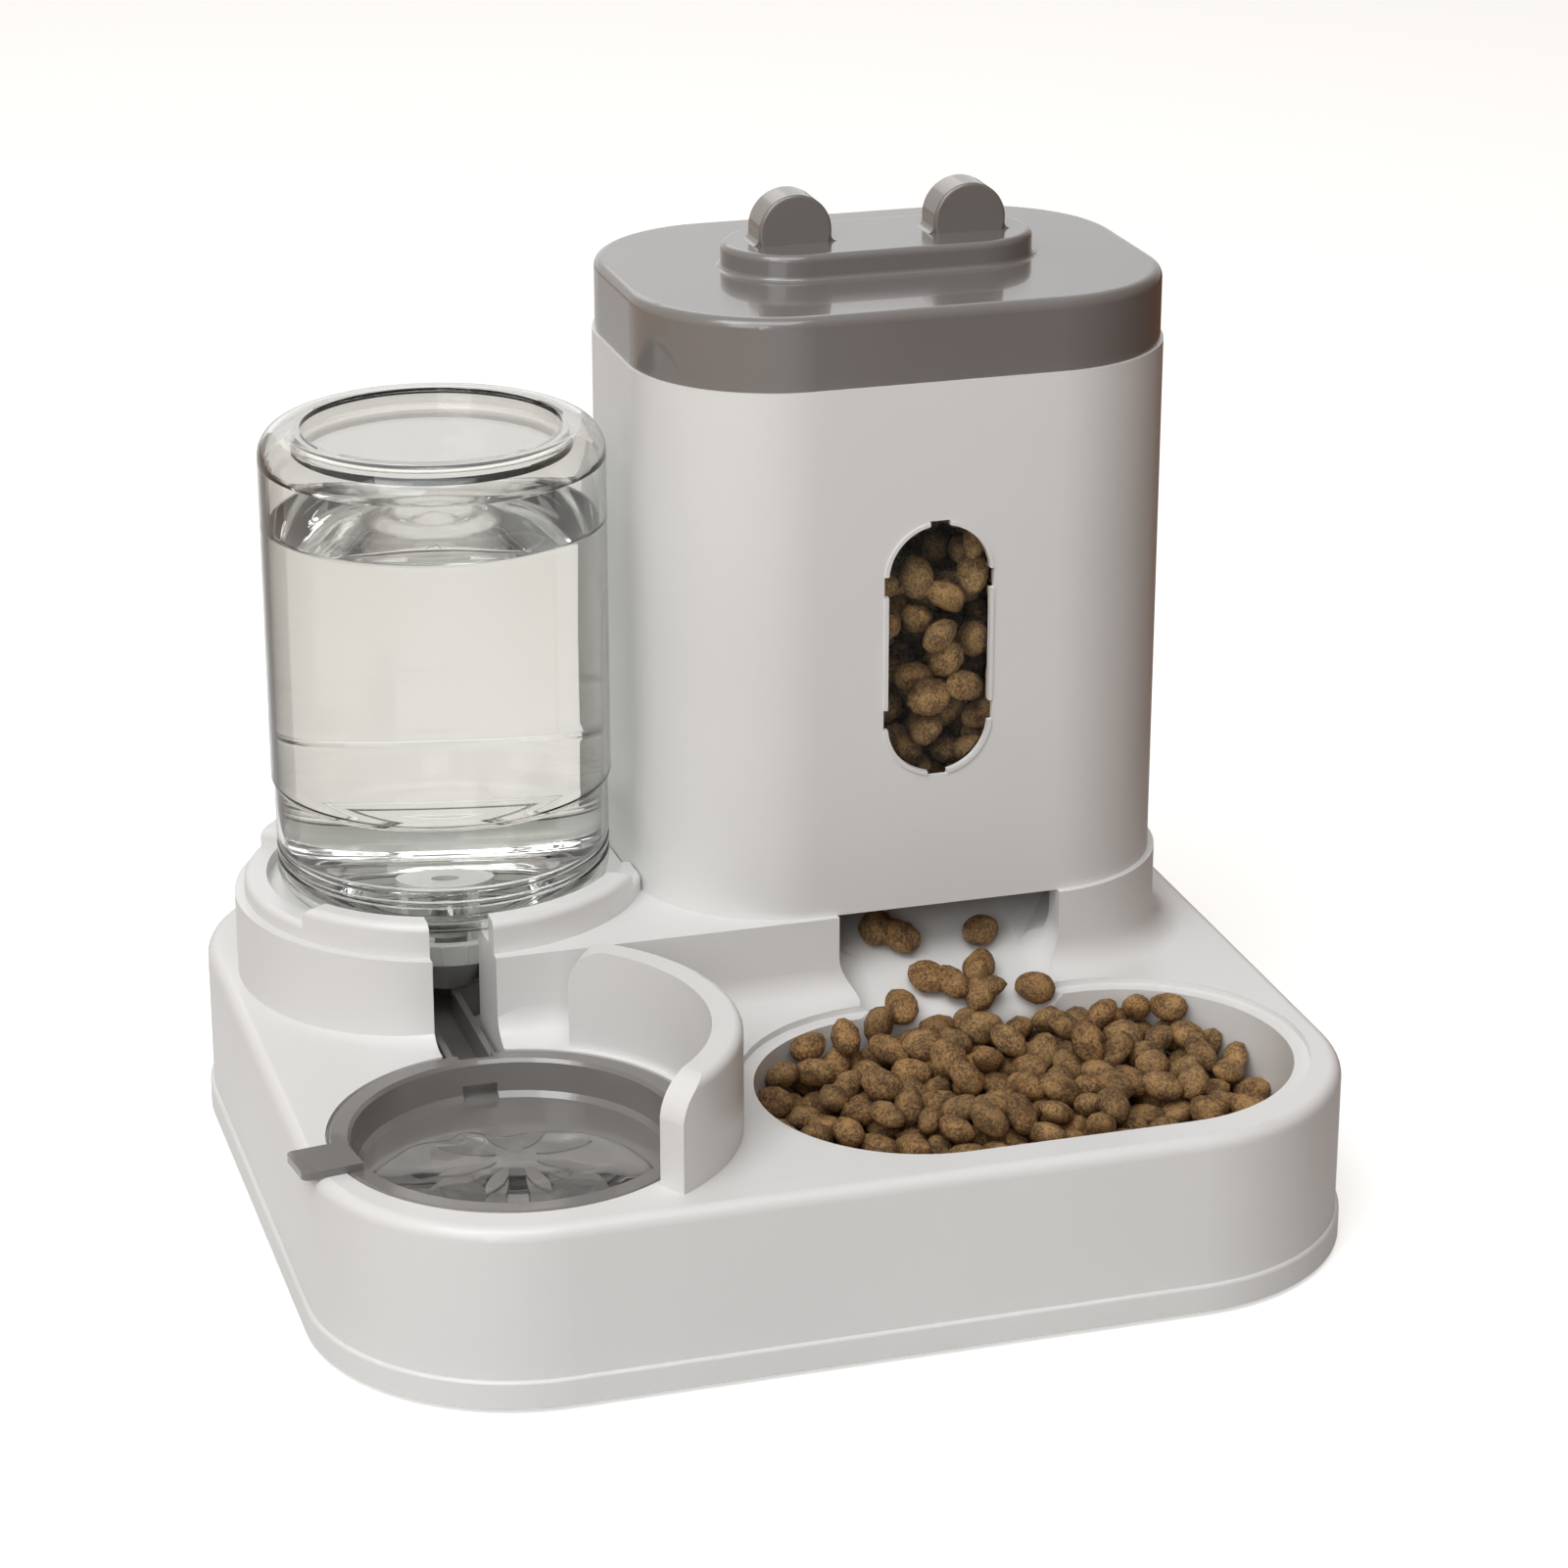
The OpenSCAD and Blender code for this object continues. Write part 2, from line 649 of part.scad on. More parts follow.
// the cover closes the tray from below; its rim is the foot band
module bottom_cover() {
    rim_w2 = band_proud + tray_wall;
    color(white) lifted() difference() {
        union() {
            swept_rr(base_w, base_d, base_r, 0, tray_wall)
                difference() {
                    edged(base_r, 0, band_h, 0.9);
                    translate([-1, tray_wall]) square([base_r - rim_w2 + 1, band_h]);
                }
            // lip inside the tray's wall
            translate([0, 0, tray_wall - 0.5]) linear_extrude(band_h + 3 - tray_wall + 0.5) difference() {
                rr(wall_w - 2 * tray_wall - 0.6, wall_d - 2 * tray_wall - 0.6, wall_r - tray_wall - 0.3);
                rr(wall_w - 2 * tray_wall - 4, wall_d - 2 * tray_wall - 4, wall_r - tray_wall - 2);
            }
            translate([0, 0, tray_wall - 0.5]) linear_extrude(band_h - tray_wall + 0.5) difference() {
                rr(wall_w - 2 * tray_wall + 0.2, wall_d - 2 * tray_wall + 0.2, wall_r - tray_wall + 0.1);
                rr(wall_w - 2 * tray_wall - 4, wall_d - 2 * tray_wall - 4, wall_r - tray_wall - 2);
            }
            for (p = screw_at) translate([p[0], p[1], 0]) cylinder(r = head_r + 2.4, h = boss_h);
            for (sx = [-1, 1], sy = [-1, 1])
                translate([sx * (base_w / 2 - foot_inset), sy * (base_d / 2 - foot_inset), 0])
                    cylinder(r = foot_r + 2, h = tray_wall + 1);
        }
        for (p = screw_at) translate([p[0], p[1], -1]) {
            cylinder(r = screw_r + 0.3, h = boss_h + 2);
            cylinder(r = head_r + 0.3, h = boss_h - head_in + 1);
        }
        for (sx = [-1, 1], sy = [-1, 1])
            translate([sx * (base_w / 2 - foot_inset), sy * (base_d / 2 - foot_inset), -1])
                cylinder(r = foot_r + 0.1, h = 2.2);
    }
}

module cover_screws() {
    color("silver") lifted() for (p = screw_at) translate([p[0], p[1], boss_h - head_in]) {
        translate([0, 0, -head_h]) cylinder(r = head_r, h = head_h);
        cylinder(r = screw_r, h = screw_l);
    }
}

module rubber_feet() {
    color([0.32, 0.32, 0.32]) for (sx = [-1, 1], sy = [-1, 1])
        translate([shift_x + sx * (base_w / 2 - foot_inset), sy * (base_d / 2 - foot_inset), 0])
            rotate_extrude() difference() {
                square([foot_r, foot_drop + 1.2]);
                translate([foot_r - 0.6, 0.6]) difference() {
                    translate([0, -1.6]) square([1.6, 1.6]);
                    circle(0.6);
                }
            }
}

// ---------- hopper, window and lid ----------

module at_window() {
    translate([hopper_x, hopper_y - hopper_d / 2, window_z]) rotate([90, 0, 0]) children();
}

module window_2d(o) { rotate(90) stadium(window_h - window_w, window_w / 2 + o); }

// the six clip notches round the window
module notches(o, len) {
    for (s = [-1, 1]) {
        translate([0, s * window_h / 2])
            square([notch_w + 2 * o, 2 * len], center = true);
        for (t = [-1, 1]) translate([s * window_w / 2, t * (window_h / 2 - window_w / 2 - 2)])
            square([2 * len, notch_w + 2 * o], center = true);
    }
}

module hopper() {
    rim_o = lid_inset + lid_wall + fit_gap;
    rim_wall = 2;
    color(white) lifted() difference() {
        union() {
            hopper_prism(0, shelf_h, hopper_top);
            hopper_prism(-spigot_inset, shelf_h - spigot_h + 1, shelf_h + 1);
            hopper_prism(-rim_o, hopper_top - 1, hopper_top + 8);
            // raised lip round the window
            at_window() translate([0, 0, -1]) linear_extrude(1.5) difference() {
                window_2d(1.1);
                window_2d(0);
            }
        }
        hopper_prism(-hopper_wall, shelf_h + tray_wall, hopper_top - 3);
        hopper_prism(-spigot_inset - spigot_wall, shelf_h - spigot_h, shelf_h + 4);
        hopper_prism(-rim_o - rim_wall, hopper_top - 4, hopper_top + 9);
        at_window() translate([0, 0, -hopper_wall - 1]) linear_extrude(hopper_wall + 3) {
            window_2d(0);
            notches(0, 1.2);
        }
        // mouth in the spigot over the chute
        translate([chute_x - chute_w / 2 - cheek_t - fit_gap, hopper_y - hopper_d / 2 - 1, shelf_h - spigot_h])
            cube([chute_w + 2 * (cheek_t + fit_gap), funnel_inset + 4, spigot_h]);
    }
}

module window_lens() {
    color(clear) lifted() at_window() {
        translate([0, 0, -1.1 - lens_t]) linear_extrude(lens_t) {
            window_2d(-0.15);
            notches(-0.15, 1.05);
        }
        translate([0, 0, -hopper_wall - 1.2]) linear_extrude(1.2) window_2d(3);
    }
}

module ear_2d() {
    circle(ear_r);
    translate([-ear_r, -ear_rise - 0.5]) square([2 * ear_r, ear_rise + 0.5]);
    for (s = [0, 1]) mirror([s, 0]) translate([ear_r - 0.5, -ear_rise - 0.5]) difference() {
        square([2.5, 2.5]);
        translate([2.5, 2.5]) circle(2);
    }
}

module lid() {
    lw = hopper_w - 2 * lid_inset;
    ld = hopper_d - 2 * lid_inset;
    lr = hopper_r - lid_inset;
    gr = grip_d / 2;
    ge = 2;
    top = hopper_top + lid_h;
    color(grey) lifted() difference() {
        union() {
            translate([hopper_x, hopper_y, 0]) {
                swept_rr(lw, ld, lr, hopper_top, top) edged(lr, hopper_top, top, lid_edge_r);
                swept_rr(grip_l, grip_d, gr, top - 1, top + grip_h) {
                    edged(gr, top - 1, top + grip_h, ge);
                    foot_fillet(gr, top, 1.5);
                }
            }
            // the ears, upright discs with a chamfered rim
            for (s = [-1, 1])
                translate([hopper_x + s * ear_pitch / 2, hopper_y, top + grip_h + ear_rise]) {
                    rotate([90, 0, 0]) translate([0, 0, -ear_t / 2 + 1])
                        linear_extrude(ear_t - 2) ear_2d();
                    for (t = [0, 1]) mirror([0, t, 0]) rotate([90, 0, 0])
                        intersection() {
                            translate([0, 0, ear_t / 2 - 1.5]) rotate_extrude() difference() {
                                square([ear_r, 1.5]);
                                translate([ear_r - 1, 0.5]) difference() {
                                    square(2);
                                    circle(1);
                                }
                            }
                            translate([-ear_r - 1, -ear_rise - 0.5, 0]) cube([2 * ear_r + 2, 3 * ear_r, ear_t]);
                        }
                }
        }
        hopper_prism(-lid_inset - lid_wall, hopper_top - 1, top - lid_wall);
        translate([hopper_x, hopper_y, top - lid_wall - 1]) linear_extrude(grip_h + 1)
            stadium(grip_l - grip_d, gr - lid_wall);
    }
}

// ---------- water bowl ----------

module petal_2d() {
    off = petal_l * 0.9;
    intersection() {
        translate([0, off]) circle(norm([off, petal_l / 2]));
        translate([0, -off]) circle(norm([off, petal_l / 2]));
    }
}

module bowl_inner() {
    crease = bowl_in_r - water_lean;
    rotate_extrude() {
        polygon([[0, bowl_floor], [crease - 1.5, bowl_floor], [crease, bowl_floor + 1.5],
            [bowl_in_r - 0.6, deck_h - 1], [bowl_in_r + 0.4, deck_h + 0.1], [0, deck_h + 0.1]]);
    }
}

module water_bowl() {
    bend = bowl_in_r - water_lean + bowl_wall;
    back = tower_y - row_y;
    color(grey) lifted() {
        difference() {
            union() {
                at_water() {
                    rotate_extrude() {
                        polygon([[0, bowl_bot], [bend - 1, bowl_bot], [bend, bowl_bot + 1],
                            [bowl_out_r - 0.3, deck_h - rim_t + 0.1], [0, deck_h - rim_t + 0.1]]);
                        translate([0, deck_h - rim_t]) square([rim_r, rim_t - 0.8]);
                        translate([0, deck_h - rim_t]) square([rim_r - 0.8, rim_t]);
                        translate([rim_r - 0.8, deck_h - 0.8]) circle(0.8);
                    }
                    translate([-trough_w / 2 - bowl_wall, 0, bowl_bot])
                        cube([trough_w + 2 * bowl_wall, back, trough_top - bowl_bot]);
                    rotate(tab_angle) {
                        translate([bowl_in_r + 1, -tab_w / 2, deck_h]) linear_extrude(tab_t)
                            square([rim_r + tab_l - bowl_in_r - 3, tab_w]);
                        translate([rim_r, -tab_w / 2 + 2, deck_h]) linear_extrude(tab_t)
                            square([tab_l, tab_w - 4]);
                        for (s = [-1, 1])
                            translate([rim_r + tab_l - 2, s * (tab_w / 2 - 2), deck_h])
                                cylinder(r = 2, h = tab_t);
                        translate([bowl_in_r + 1, -tab_w / 2, deck_h - 1])
                            cube([rim_r - bowl_in_r - 2.5, tab_w, 1.5]);
                    }
                }
                translate([water_x, tower_y, bowl_bot])
                    cylinder(r = well_r + bowl_wall, h = trough_top - bowl_bot);
            }
            at_water() {
                bowl_inner();
                translate([-trough_w / 2, bowl_in_r - 6, bowl_floor]) cube([trough_w, 14, mouth_rise]);
                translate([-trough_w / 2, bowl_out_r, bowl_floor])
                    cube([trough_w, back - bowl_out_r, 20]);
            }
            translate([water_x, tower_y, bowl_floor]) cylinder(r = well_r, h = 20);
        }
        at_tower() translate([0, 0, bowl_bot + 0.5]) {
            cylinder(r = post_r, h = post_top - bowl_bot - 0.5);
            for (a = [0, 90]) rotate(a) translate([-post_r - 2, -0.8, 0])
                cube([2 * post_r + 4, 1.6, bowl_wall + 1.5]);
        }
        at_water() for (i = [0:petals - 1]) rotate(i * 360 / petals + 11)
            translate([6 + petal_l / 2, 0, bowl_floor - 0.3]) linear_extrude(petal_h + 0.3) petal_2d();
    }
}

// ---------- water bottle ----------

// half section of the bottle, drawn inward by o
module bottle_2d(o) {
    r = bottle_r - o;
    w = bottle_r - waist_step - o;
    top = bottle_h - o;
    br = base_round;
    difference() {
        union() {
            translate([0, waist_h]) square([r, top - waist_h - br]);
            translate([0, waist_h]) square([r - br + o, top - waist_h]);
            translate([bottle_r - br, bottle_h - br]) circle(br - o);
            translate([0, shoulder_r]) square([w, waist_h - shoulder_r]);
            polygon([[0, waist_h - 1.2], [w, waist_h - 1.2], [r, waist_h + 0.1], [0, waist_h + 0.1]]);
            translate([0, o]) square([w + o - shoulder_r, waist_h / 2]);
            translate([w + o - shoulder_r, shoulder_r]) circle(shoulder_r - o);
        }
        translate([-1, bottle_h - dish_h - o]) square([dish_r + o + 1, dish_h + 2 * o + 1]);
        for (z = [11, 15]) translate([w + 0.9 + (o > 0 ? 3 : 0), z]) circle(1.5);
    }
}

module water_bottle() {
    color(clear) lifted() at_tower() translate([0, 0, seat_h]) rotate_extrude() difference() {
        union() {
            bottle_2d(0);
            translate([0, -neck_l]) square([neck_r, neck_l + 1]);
            for (z = [-7, -3.2]) translate([neck_r - 0.5, z])
                polygon([[0, -1], [1, -0.4], [1, 0.4], [0, 1]]);
        }
        bottle_2d(bottle_wall);
        translate([-1, -neck_l - 1]) square([neck_r - bottle_wall + 1, neck_l + bottle_wall + 2]);
    }
}

// ---------- cap and valve ----------

module bottle_cap() {
    leg_w = 2;
    color(white) lifted() at_tower() {
        difference() {
            union() {
                translate([0, 0, cap_z]) rotate_extrude() {
                    square([cap_r, cap_h - 0.6]);
                    square([cap_r - 0.6, cap_h]);
                    translate([cap_r - 0.6, cap_h - 0.6]) circle(0.6);
                }
                for (i = [0:23]) rotate(15 * i) translate([cap_r - 0.2, 0, cap_z + 0.6])
                    cylinder(r = 0.5, h = cap_h - 1.4, $fn = 24);
                translate([0, 0, mouth_h]) cylinder(r = nozzle_r, h = cap_z - mouth_h + 0.5);
            }
            translate([0, 0, cap_z + cap_t]) cylinder(r = cap_r - cap_t - 0.2, h = cap_h);
            translate([0, 0, mouth_h - 1]) cylinder(r = nozzle_r - 2, h = cap_z - mouth_h);
            translate([0, 0, cap_z - 2]) cylinder(r = disc_r - 2.5, h = 6);
        }
        // guide of the stem in the nozzle
        translate([0, 0, hub_z]) difference() {
            union() {
                cylinder(r = stem_r + 1.6, h = 5);
                for (a = [0:120:240]) rotate(a) translate([0, -0.8, 0.4])
                    cube([nozzle_r - 1.5, 1.6, 4.2]);
            }
            translate([0, 0, -1]) cylinder(r = stem_r + run_gap, h = 7);
        }
        // cage that holds the spring
        for (a = [60:120:300]) rotate(a) translate([cage_r, -leg_w / 2, cap_z + cap_t - 0.3])
            cube([leg_w - 0.4, leg_w, cage_z - cap_z - cap_t + 0.3]);
        translate([0, 0, cage_z - 0.3]) difference() {
            cylinder(r = cage_r + leg_w, h = 1.8);
            translate([0, 0, -1]) cylinder(r = disc_r - 4.5, h = 4);
        }
    }
}

module cap_gasket() {
    color([0.85, 0.85, 0.83]) lifted() at_tower() translate([0, 0, cap_z + cap_t]) difference() {
        cylinder(r = neck_r, h = gasket_t);
        translate([0, 0, -1]) cylinder(r = neck_r - bottle_wall - 0.6, h = gasket_t + 2);
    }
}

module valve_plunger() {
    color(white) lifted() at_tower() {
        translate([0, 0, foot_z]) cylinder(r = post_r - 0.6, h = 2);
        translate([0, 0, foot_z]) cylinder(r = stem_r, h = spring_z - foot_z + 2.5);
        translate([0, 0, seal_z + seal_t]) cylinder(r = disc_r, h = disc_t);
    }
}

module valve_seal() {
    color([0.3, 0.3, 0.3]) lifted() at_tower() translate([0, 0, seal_z]) difference() {
        cylinder(r = disc_r - 0.4, h = seal_t);
        translate([0, 0, -1]) cylinder(r = stem_r, h = seal_t + 2);
    }
}

// coil swept along its turns, with flat rings of points
function coil_at(t) = let (a = 360 * spring_turns * t, r = stem_r + wire_r + 0.6)
    [r * cos(a), r * sin(a), wire_r + 0.02 + t * (cage_z - 0.3 - spring_z - 2 * wire_r - 0.04)];

module valve_spring() {
    n = spring_turns * 14;
    k = 8;
    pts = [for (i = [0:n]) let (c = coil_at(i / n), a = 360 * spring_turns * i / n)
        for (j = [0:k - 1]) let (u = wire_r * cos(360 * j / k), v = wire_r * sin(360 * j / k))
            [c[0] + u * cos(a), c[1] + u * sin(a), c[2] + v]];
    faces = concat(
        [[for (j = [0:k - 1]) j]],
        [for (i = [0:n - 1], j = [0:k - 1])
            [i * k + j, (i + 1) * k + j, (i + 1) * k + (j + 1) % k, i * k + (j + 1) % k]],
        [[for (j = [k - 1:-1:0]) n * k + j]]);
    color("silver") lifted() at_tower() translate([0, 0, spring_z]) polyhedron(pts, faces, convexity = 8);
}

base_tray();
bottom_cover();
cover_screws();
rubber_feet();
hopper();
window_lens();
lid();
water_bowl();
water_bottle();
bottle_cap();
cap_gasket();
valve_plunger();
valve_seal();
valve_spring();
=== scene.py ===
import math
import random

import bmesh
import bpy
import numpy as np
from mathutils import Matrix, Vector, noise


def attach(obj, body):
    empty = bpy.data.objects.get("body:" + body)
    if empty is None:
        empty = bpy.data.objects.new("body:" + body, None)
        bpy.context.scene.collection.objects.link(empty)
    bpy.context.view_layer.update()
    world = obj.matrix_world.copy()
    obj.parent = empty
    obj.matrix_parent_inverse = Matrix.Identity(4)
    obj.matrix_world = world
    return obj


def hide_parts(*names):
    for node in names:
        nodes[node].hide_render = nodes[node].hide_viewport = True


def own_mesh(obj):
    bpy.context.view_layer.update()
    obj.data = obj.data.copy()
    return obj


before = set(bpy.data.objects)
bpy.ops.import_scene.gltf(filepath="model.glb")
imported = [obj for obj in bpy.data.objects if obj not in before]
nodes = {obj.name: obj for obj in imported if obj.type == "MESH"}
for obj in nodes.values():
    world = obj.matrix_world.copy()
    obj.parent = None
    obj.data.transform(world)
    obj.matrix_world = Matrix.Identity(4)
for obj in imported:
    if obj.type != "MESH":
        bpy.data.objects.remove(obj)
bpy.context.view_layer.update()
scene = bpy.context.scene
mm = 0.001  # every size below is in millimetres
print("frame loaded:", len(nodes), "nodes")


# small helpers

def tint(r, g, b):
    # a colour as it is read off a screen, 0 to 255, made linear
    part = [c / 255 / 12.92 if c / 255 <= 0.04045 else ((c / 255 + 0.055) / 1.055) ** 2.4
            for c in (r, g, b)]
    return (*part, 1.0)


def addMesh(name, verts, faces, body):
    # verts in millimetres; the piece rides on a CAD body
    mesh = bpy.data.meshes.new(name)
    mesh.from_pydata([Vector(v) * mm for v in verts], [], faces)
    mesh.validate()
    for polygon in mesh.polygons:
        polygon.use_smooth = True
    piece = bpy.data.objects.new(name, mesh)
    scene.collection.objects.link(piece)
    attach(piece, body)
    return piece


def dress(piece, material):
    piece.data.materials.clear()
    piece.data.materials.append(material)


# materials

def startMaterial(name):
    material = bpy.data.materials.new(name)
    material.use_nodes = True
    tree = material.node_tree
    return material, tree, tree.nodes["Principled BSDF"]


def addNode(tree, kind, **inputs):
    # inputs by name, with _ where the name has a blank
    node = tree.nodes.new(kind)
    for name, value in inputs.items():
        node.inputs[name.replace("_", " ")].default_value = value
    return node


def addNoise(tree, scale, detail=3.0, rough=0.5):
    # object coordinates are metres here, so scale is waves per metre
    where = tree.nodes.get("Where") or tree.nodes.new("ShaderNodeTexCoord")
    where.name = "Where"
    cloud = addNode(tree, "ShaderNodeTexNoise", Scale=scale, Detail=detail, Roughness=rough)
    tree.links.new(where.outputs["Object"], cloud.inputs["Vector"])
    return cloud


def blendByNoise(tree, cloud, low, high, first, second):
    ramp = tree.nodes.new("ShaderNodeValToRGB")
    ramp.color_ramp.elements[0].position = low
    ramp.color_ramp.elements[1].position = high
    ramp.color_ramp.elements[0].color = first
    ramp.color_ramp.elements[1].color = second
    tree.links.new(cloud.outputs["Fac"], ramp.inputs["Fac"])
    return ramp


def rangeByNoise(tree, cloud, low, high):
    spread = addNode(tree, "ShaderNodeMapRange", From_Min=0.3, From_Max=0.7, To_Min=low,
                     To_Max=high)
    tree.links.new(cloud.outputs["Fac"], spread.inputs["Value"])
    return spread


def addBump(tree, height, strength, distance, before=None):
    bump = addNode(tree, "ShaderNodeBump", Strength=strength, Distance=distance)
    tree.links.new(height, bump.inputs["Height"])
    if before:
        tree.links.new(before.outputs["Normal"], bump.inputs["Normal"])
    return bump


def mouldedPlastic(name, look):
    # glossy injection-moulded plastic: faint flow marks, fine skin, uneven gloss
    material, tree, shader = startMaterial(name)
    flow = addNoise(tree, look["flowScale"], 2.0)
    skin = addNoise(tree, look["skinScale"], 4.0, 0.6)
    colour = blendByNoise(tree, flow, 0.3, 0.7, look["darker"], look["lighter"])
    tree.links.new(colour.outputs["Color"], shader.inputs["Base Color"])
    gloss = rangeByNoise(tree, skin, *look["roughness"])
    tree.links.new(gloss.outputs["Result"], shader.inputs["Roughness"])
    waves = addBump(tree, flow.outputs["Fac"], look["waves"], 0.002)
    grain = addBump(tree, skin.outputs["Fac"], look["grain"], 0.0002, waves)
    tree.links.new(grain.outputs["Normal"], shader.inputs["Normal"])
    shader.inputs["IOR"].default_value = 1.5
    shader.inputs["Coat Weight"].default_value = look["coat"]
    shader.inputs["Coat Roughness"].default_value = look["coatRoughness"]
    return material


whiteLook = {
    "darker": tint(221, 220, 218), "lighter": tint(227, 226, 224),
    "flowScale": 9.0, "skinScale": 1500.0, "roughness": (0.34, 0.42),
    "waves": 0.05, "grain": 0.10, "coat": 0.25, "coatRoughness": 0.16,
}
greyLook = {
    "darker": tint(112, 108, 105), "lighter": tint(119, 115, 112),
    "flowScale": 14.0, "skinScale": 1700.0, "roughness": (0.17, 0.24),
    "waves": 0.04, "grain": 0.05, "coat": 0.6, "coatRoughness": 0.04,
}
whitePlastic = mouldedPlastic("whitePlastic", whiteLook)
greyPlastic = mouldedPlastic("greyPlastic", greyLook)


def clearPlastic(name, look):
    # clear moulded wall that lets the lamps through to what is behind it
    material, tree, shader = startMaterial(name)
    waves = addNoise(tree, look["waveScale"], 2.0)
    haze = addNoise(tree, look["hazeScale"], 3.0)
    shader.inputs["Base Color"].default_value = look["colour"]
    shader.inputs["Transmission Weight"].default_value = 1.0
    shader.inputs["IOR"].default_value = look["ior"]
    rough = rangeByNoise(tree, haze, *look["roughness"])
    tree.links.new(rough.outputs["Result"], shader.inputs["Roughness"])
    bump = addBump(tree, waves.outputs["Fac"], look["waves"], 0.001)
    tree.links.new(bump.outputs["Normal"], shader.inputs["Normal"])
    lamps = tree.nodes.new("ShaderNodeBsdfTransparent")
    lamps.inputs["Color"].default_value = look["shadow"]
    path = tree.nodes.new("ShaderNodeLightPath")
    mix = tree.nodes.new("ShaderNodeMixShader")
    tree.links.new(path.outputs["Is Shadow Ray"], mix.inputs["Fac"])
    tree.links.new(shader.outputs["BSDF"], mix.inputs[1])
    tree.links.new(lamps.outputs["BSDF"], mix.inputs[2])
    tree.links.new(mix.outputs["Shader"], tree.nodes["Material Output"].inputs["Surface"])
    return material


bottleLook = {
    "colour": tint(252, 252, 250), "shadow": tint(243, 244, 243), "ior": 1.46,
    "waveScale": 30.0, "waves": 0.04, "hazeScale": 60.0, "roughness": (0.0, 0.02),
}
waterLook = {
    "colour": tint(250, 250, 249), "shadow": tint(240, 241, 240), "ior": 1.33,
    "waveScale": 45.0, "waves": 0.02, "hazeScale": 40.0, "roughness": (0.0, 0.0),
}
lensLook = {
    "colour": tint(246, 246, 244), "shadow": tint(240, 240, 238), "ior": 1.16,
    "waveScale": 40.0, "waves": 0.03, "hazeScale": 90.0, "roughness": (0.0, 0.02),
}
clearWall = clearPlastic("clearWall", bottleLook)
lensWall = clearPlastic("lensWall", lensLook)
water = clearPlastic("water", waterLook)


def softRubber(name, look):
    material, tree, shader = startMaterial(name)
    skin = addNoise(tree, look["skinScale"], 5.0, 0.65)
    colour = blendByNoise(tree, skin, 0.35, 0.65, look["darker"], look["lighter"])
    tree.links.new(colour.outputs["Color"], shader.inputs["Base Color"])
    rough = rangeByNoise(tree, skin, *look["roughness"])
    tree.links.new(rough.outputs["Result"], shader.inputs["Roughness"])
    bump = addBump(tree, skin.outputs["Fac"], 0.25, 0.0002)
    tree.links.new(bump.outputs["Normal"], shader.inputs["Normal"])
    return material


footRubber = softRubber("footRubber", {
    "darker": tint(52, 51, 50), "lighter": tint(66, 65, 63), "skinScale": 900.0,
    "roughness": (0.7, 0.85)})
sealRubber = softRubber("sealRubber", {
    "darker": tint(196, 192, 184), "lighter": tint(208, 204, 197), "skinScale": 1100.0,
    "roughness": (0.5, 0.65)})


def drawnSteel(name, look):
    # spring wire and screws: bright metal with fine drawing lines
    material, tree, shader = startMaterial(name)
    lines = addNoise(tree, look["lineScale"], 6.0, 0.7)
    colour = blendByNoise(tree, lines, 0.3, 0.7, look["darker"], look["lighter"])
    tree.links.new(colour.outputs["Color"], shader.inputs["Base Color"])
    rough = rangeByNoise(tree, lines, *look["roughness"])
    tree.links.new(rough.outputs["Result"], shader.inputs["Roughness"])
    shader.inputs["Metallic"].default_value = 1.0
    return material


brightSteel = drawnSteel("brightSteel", {
    "darker": tint(168, 168, 166), "lighter": tint(196, 196, 194), "lineScale": 2600.0,
    "roughness": (0.22, 0.36)})

finishes = {
    "base_tray": whitePlastic, "bottom_cover": whitePlastic, "hopper": whitePlastic,
    "lid": greyPlastic, "water_bowl": greyPlastic, "bottle_cap": whitePlastic,
    "valve_plunger": whitePlastic, "window_lens": lensWall, "water_bottle": clearWall,
    "rubber_feet": footRubber, "cap_gasket": sealRubber, "valve_seal": sealRubber,
    "valve_spring": brightSteel, "cover_screws": brightSteel,
}
for nodeName, finish in finishes.items():
    dress(nodes[nodeName], finish)
print("materials on", len(finishes), "nodes")


# kibble

kibbleLook = {
    "crust": tint(86, 60, 33), "crumb": tint(176, 137, 86), "pitShade": tint(50, 35, 21),
    "toneScale": 190.0, "grainScale": 1300.0, "pitScale": 900.0, "grainShare": 0.6,
    "grainSpread": (0.43, 0.58), "pitDepth": 0.24,
}


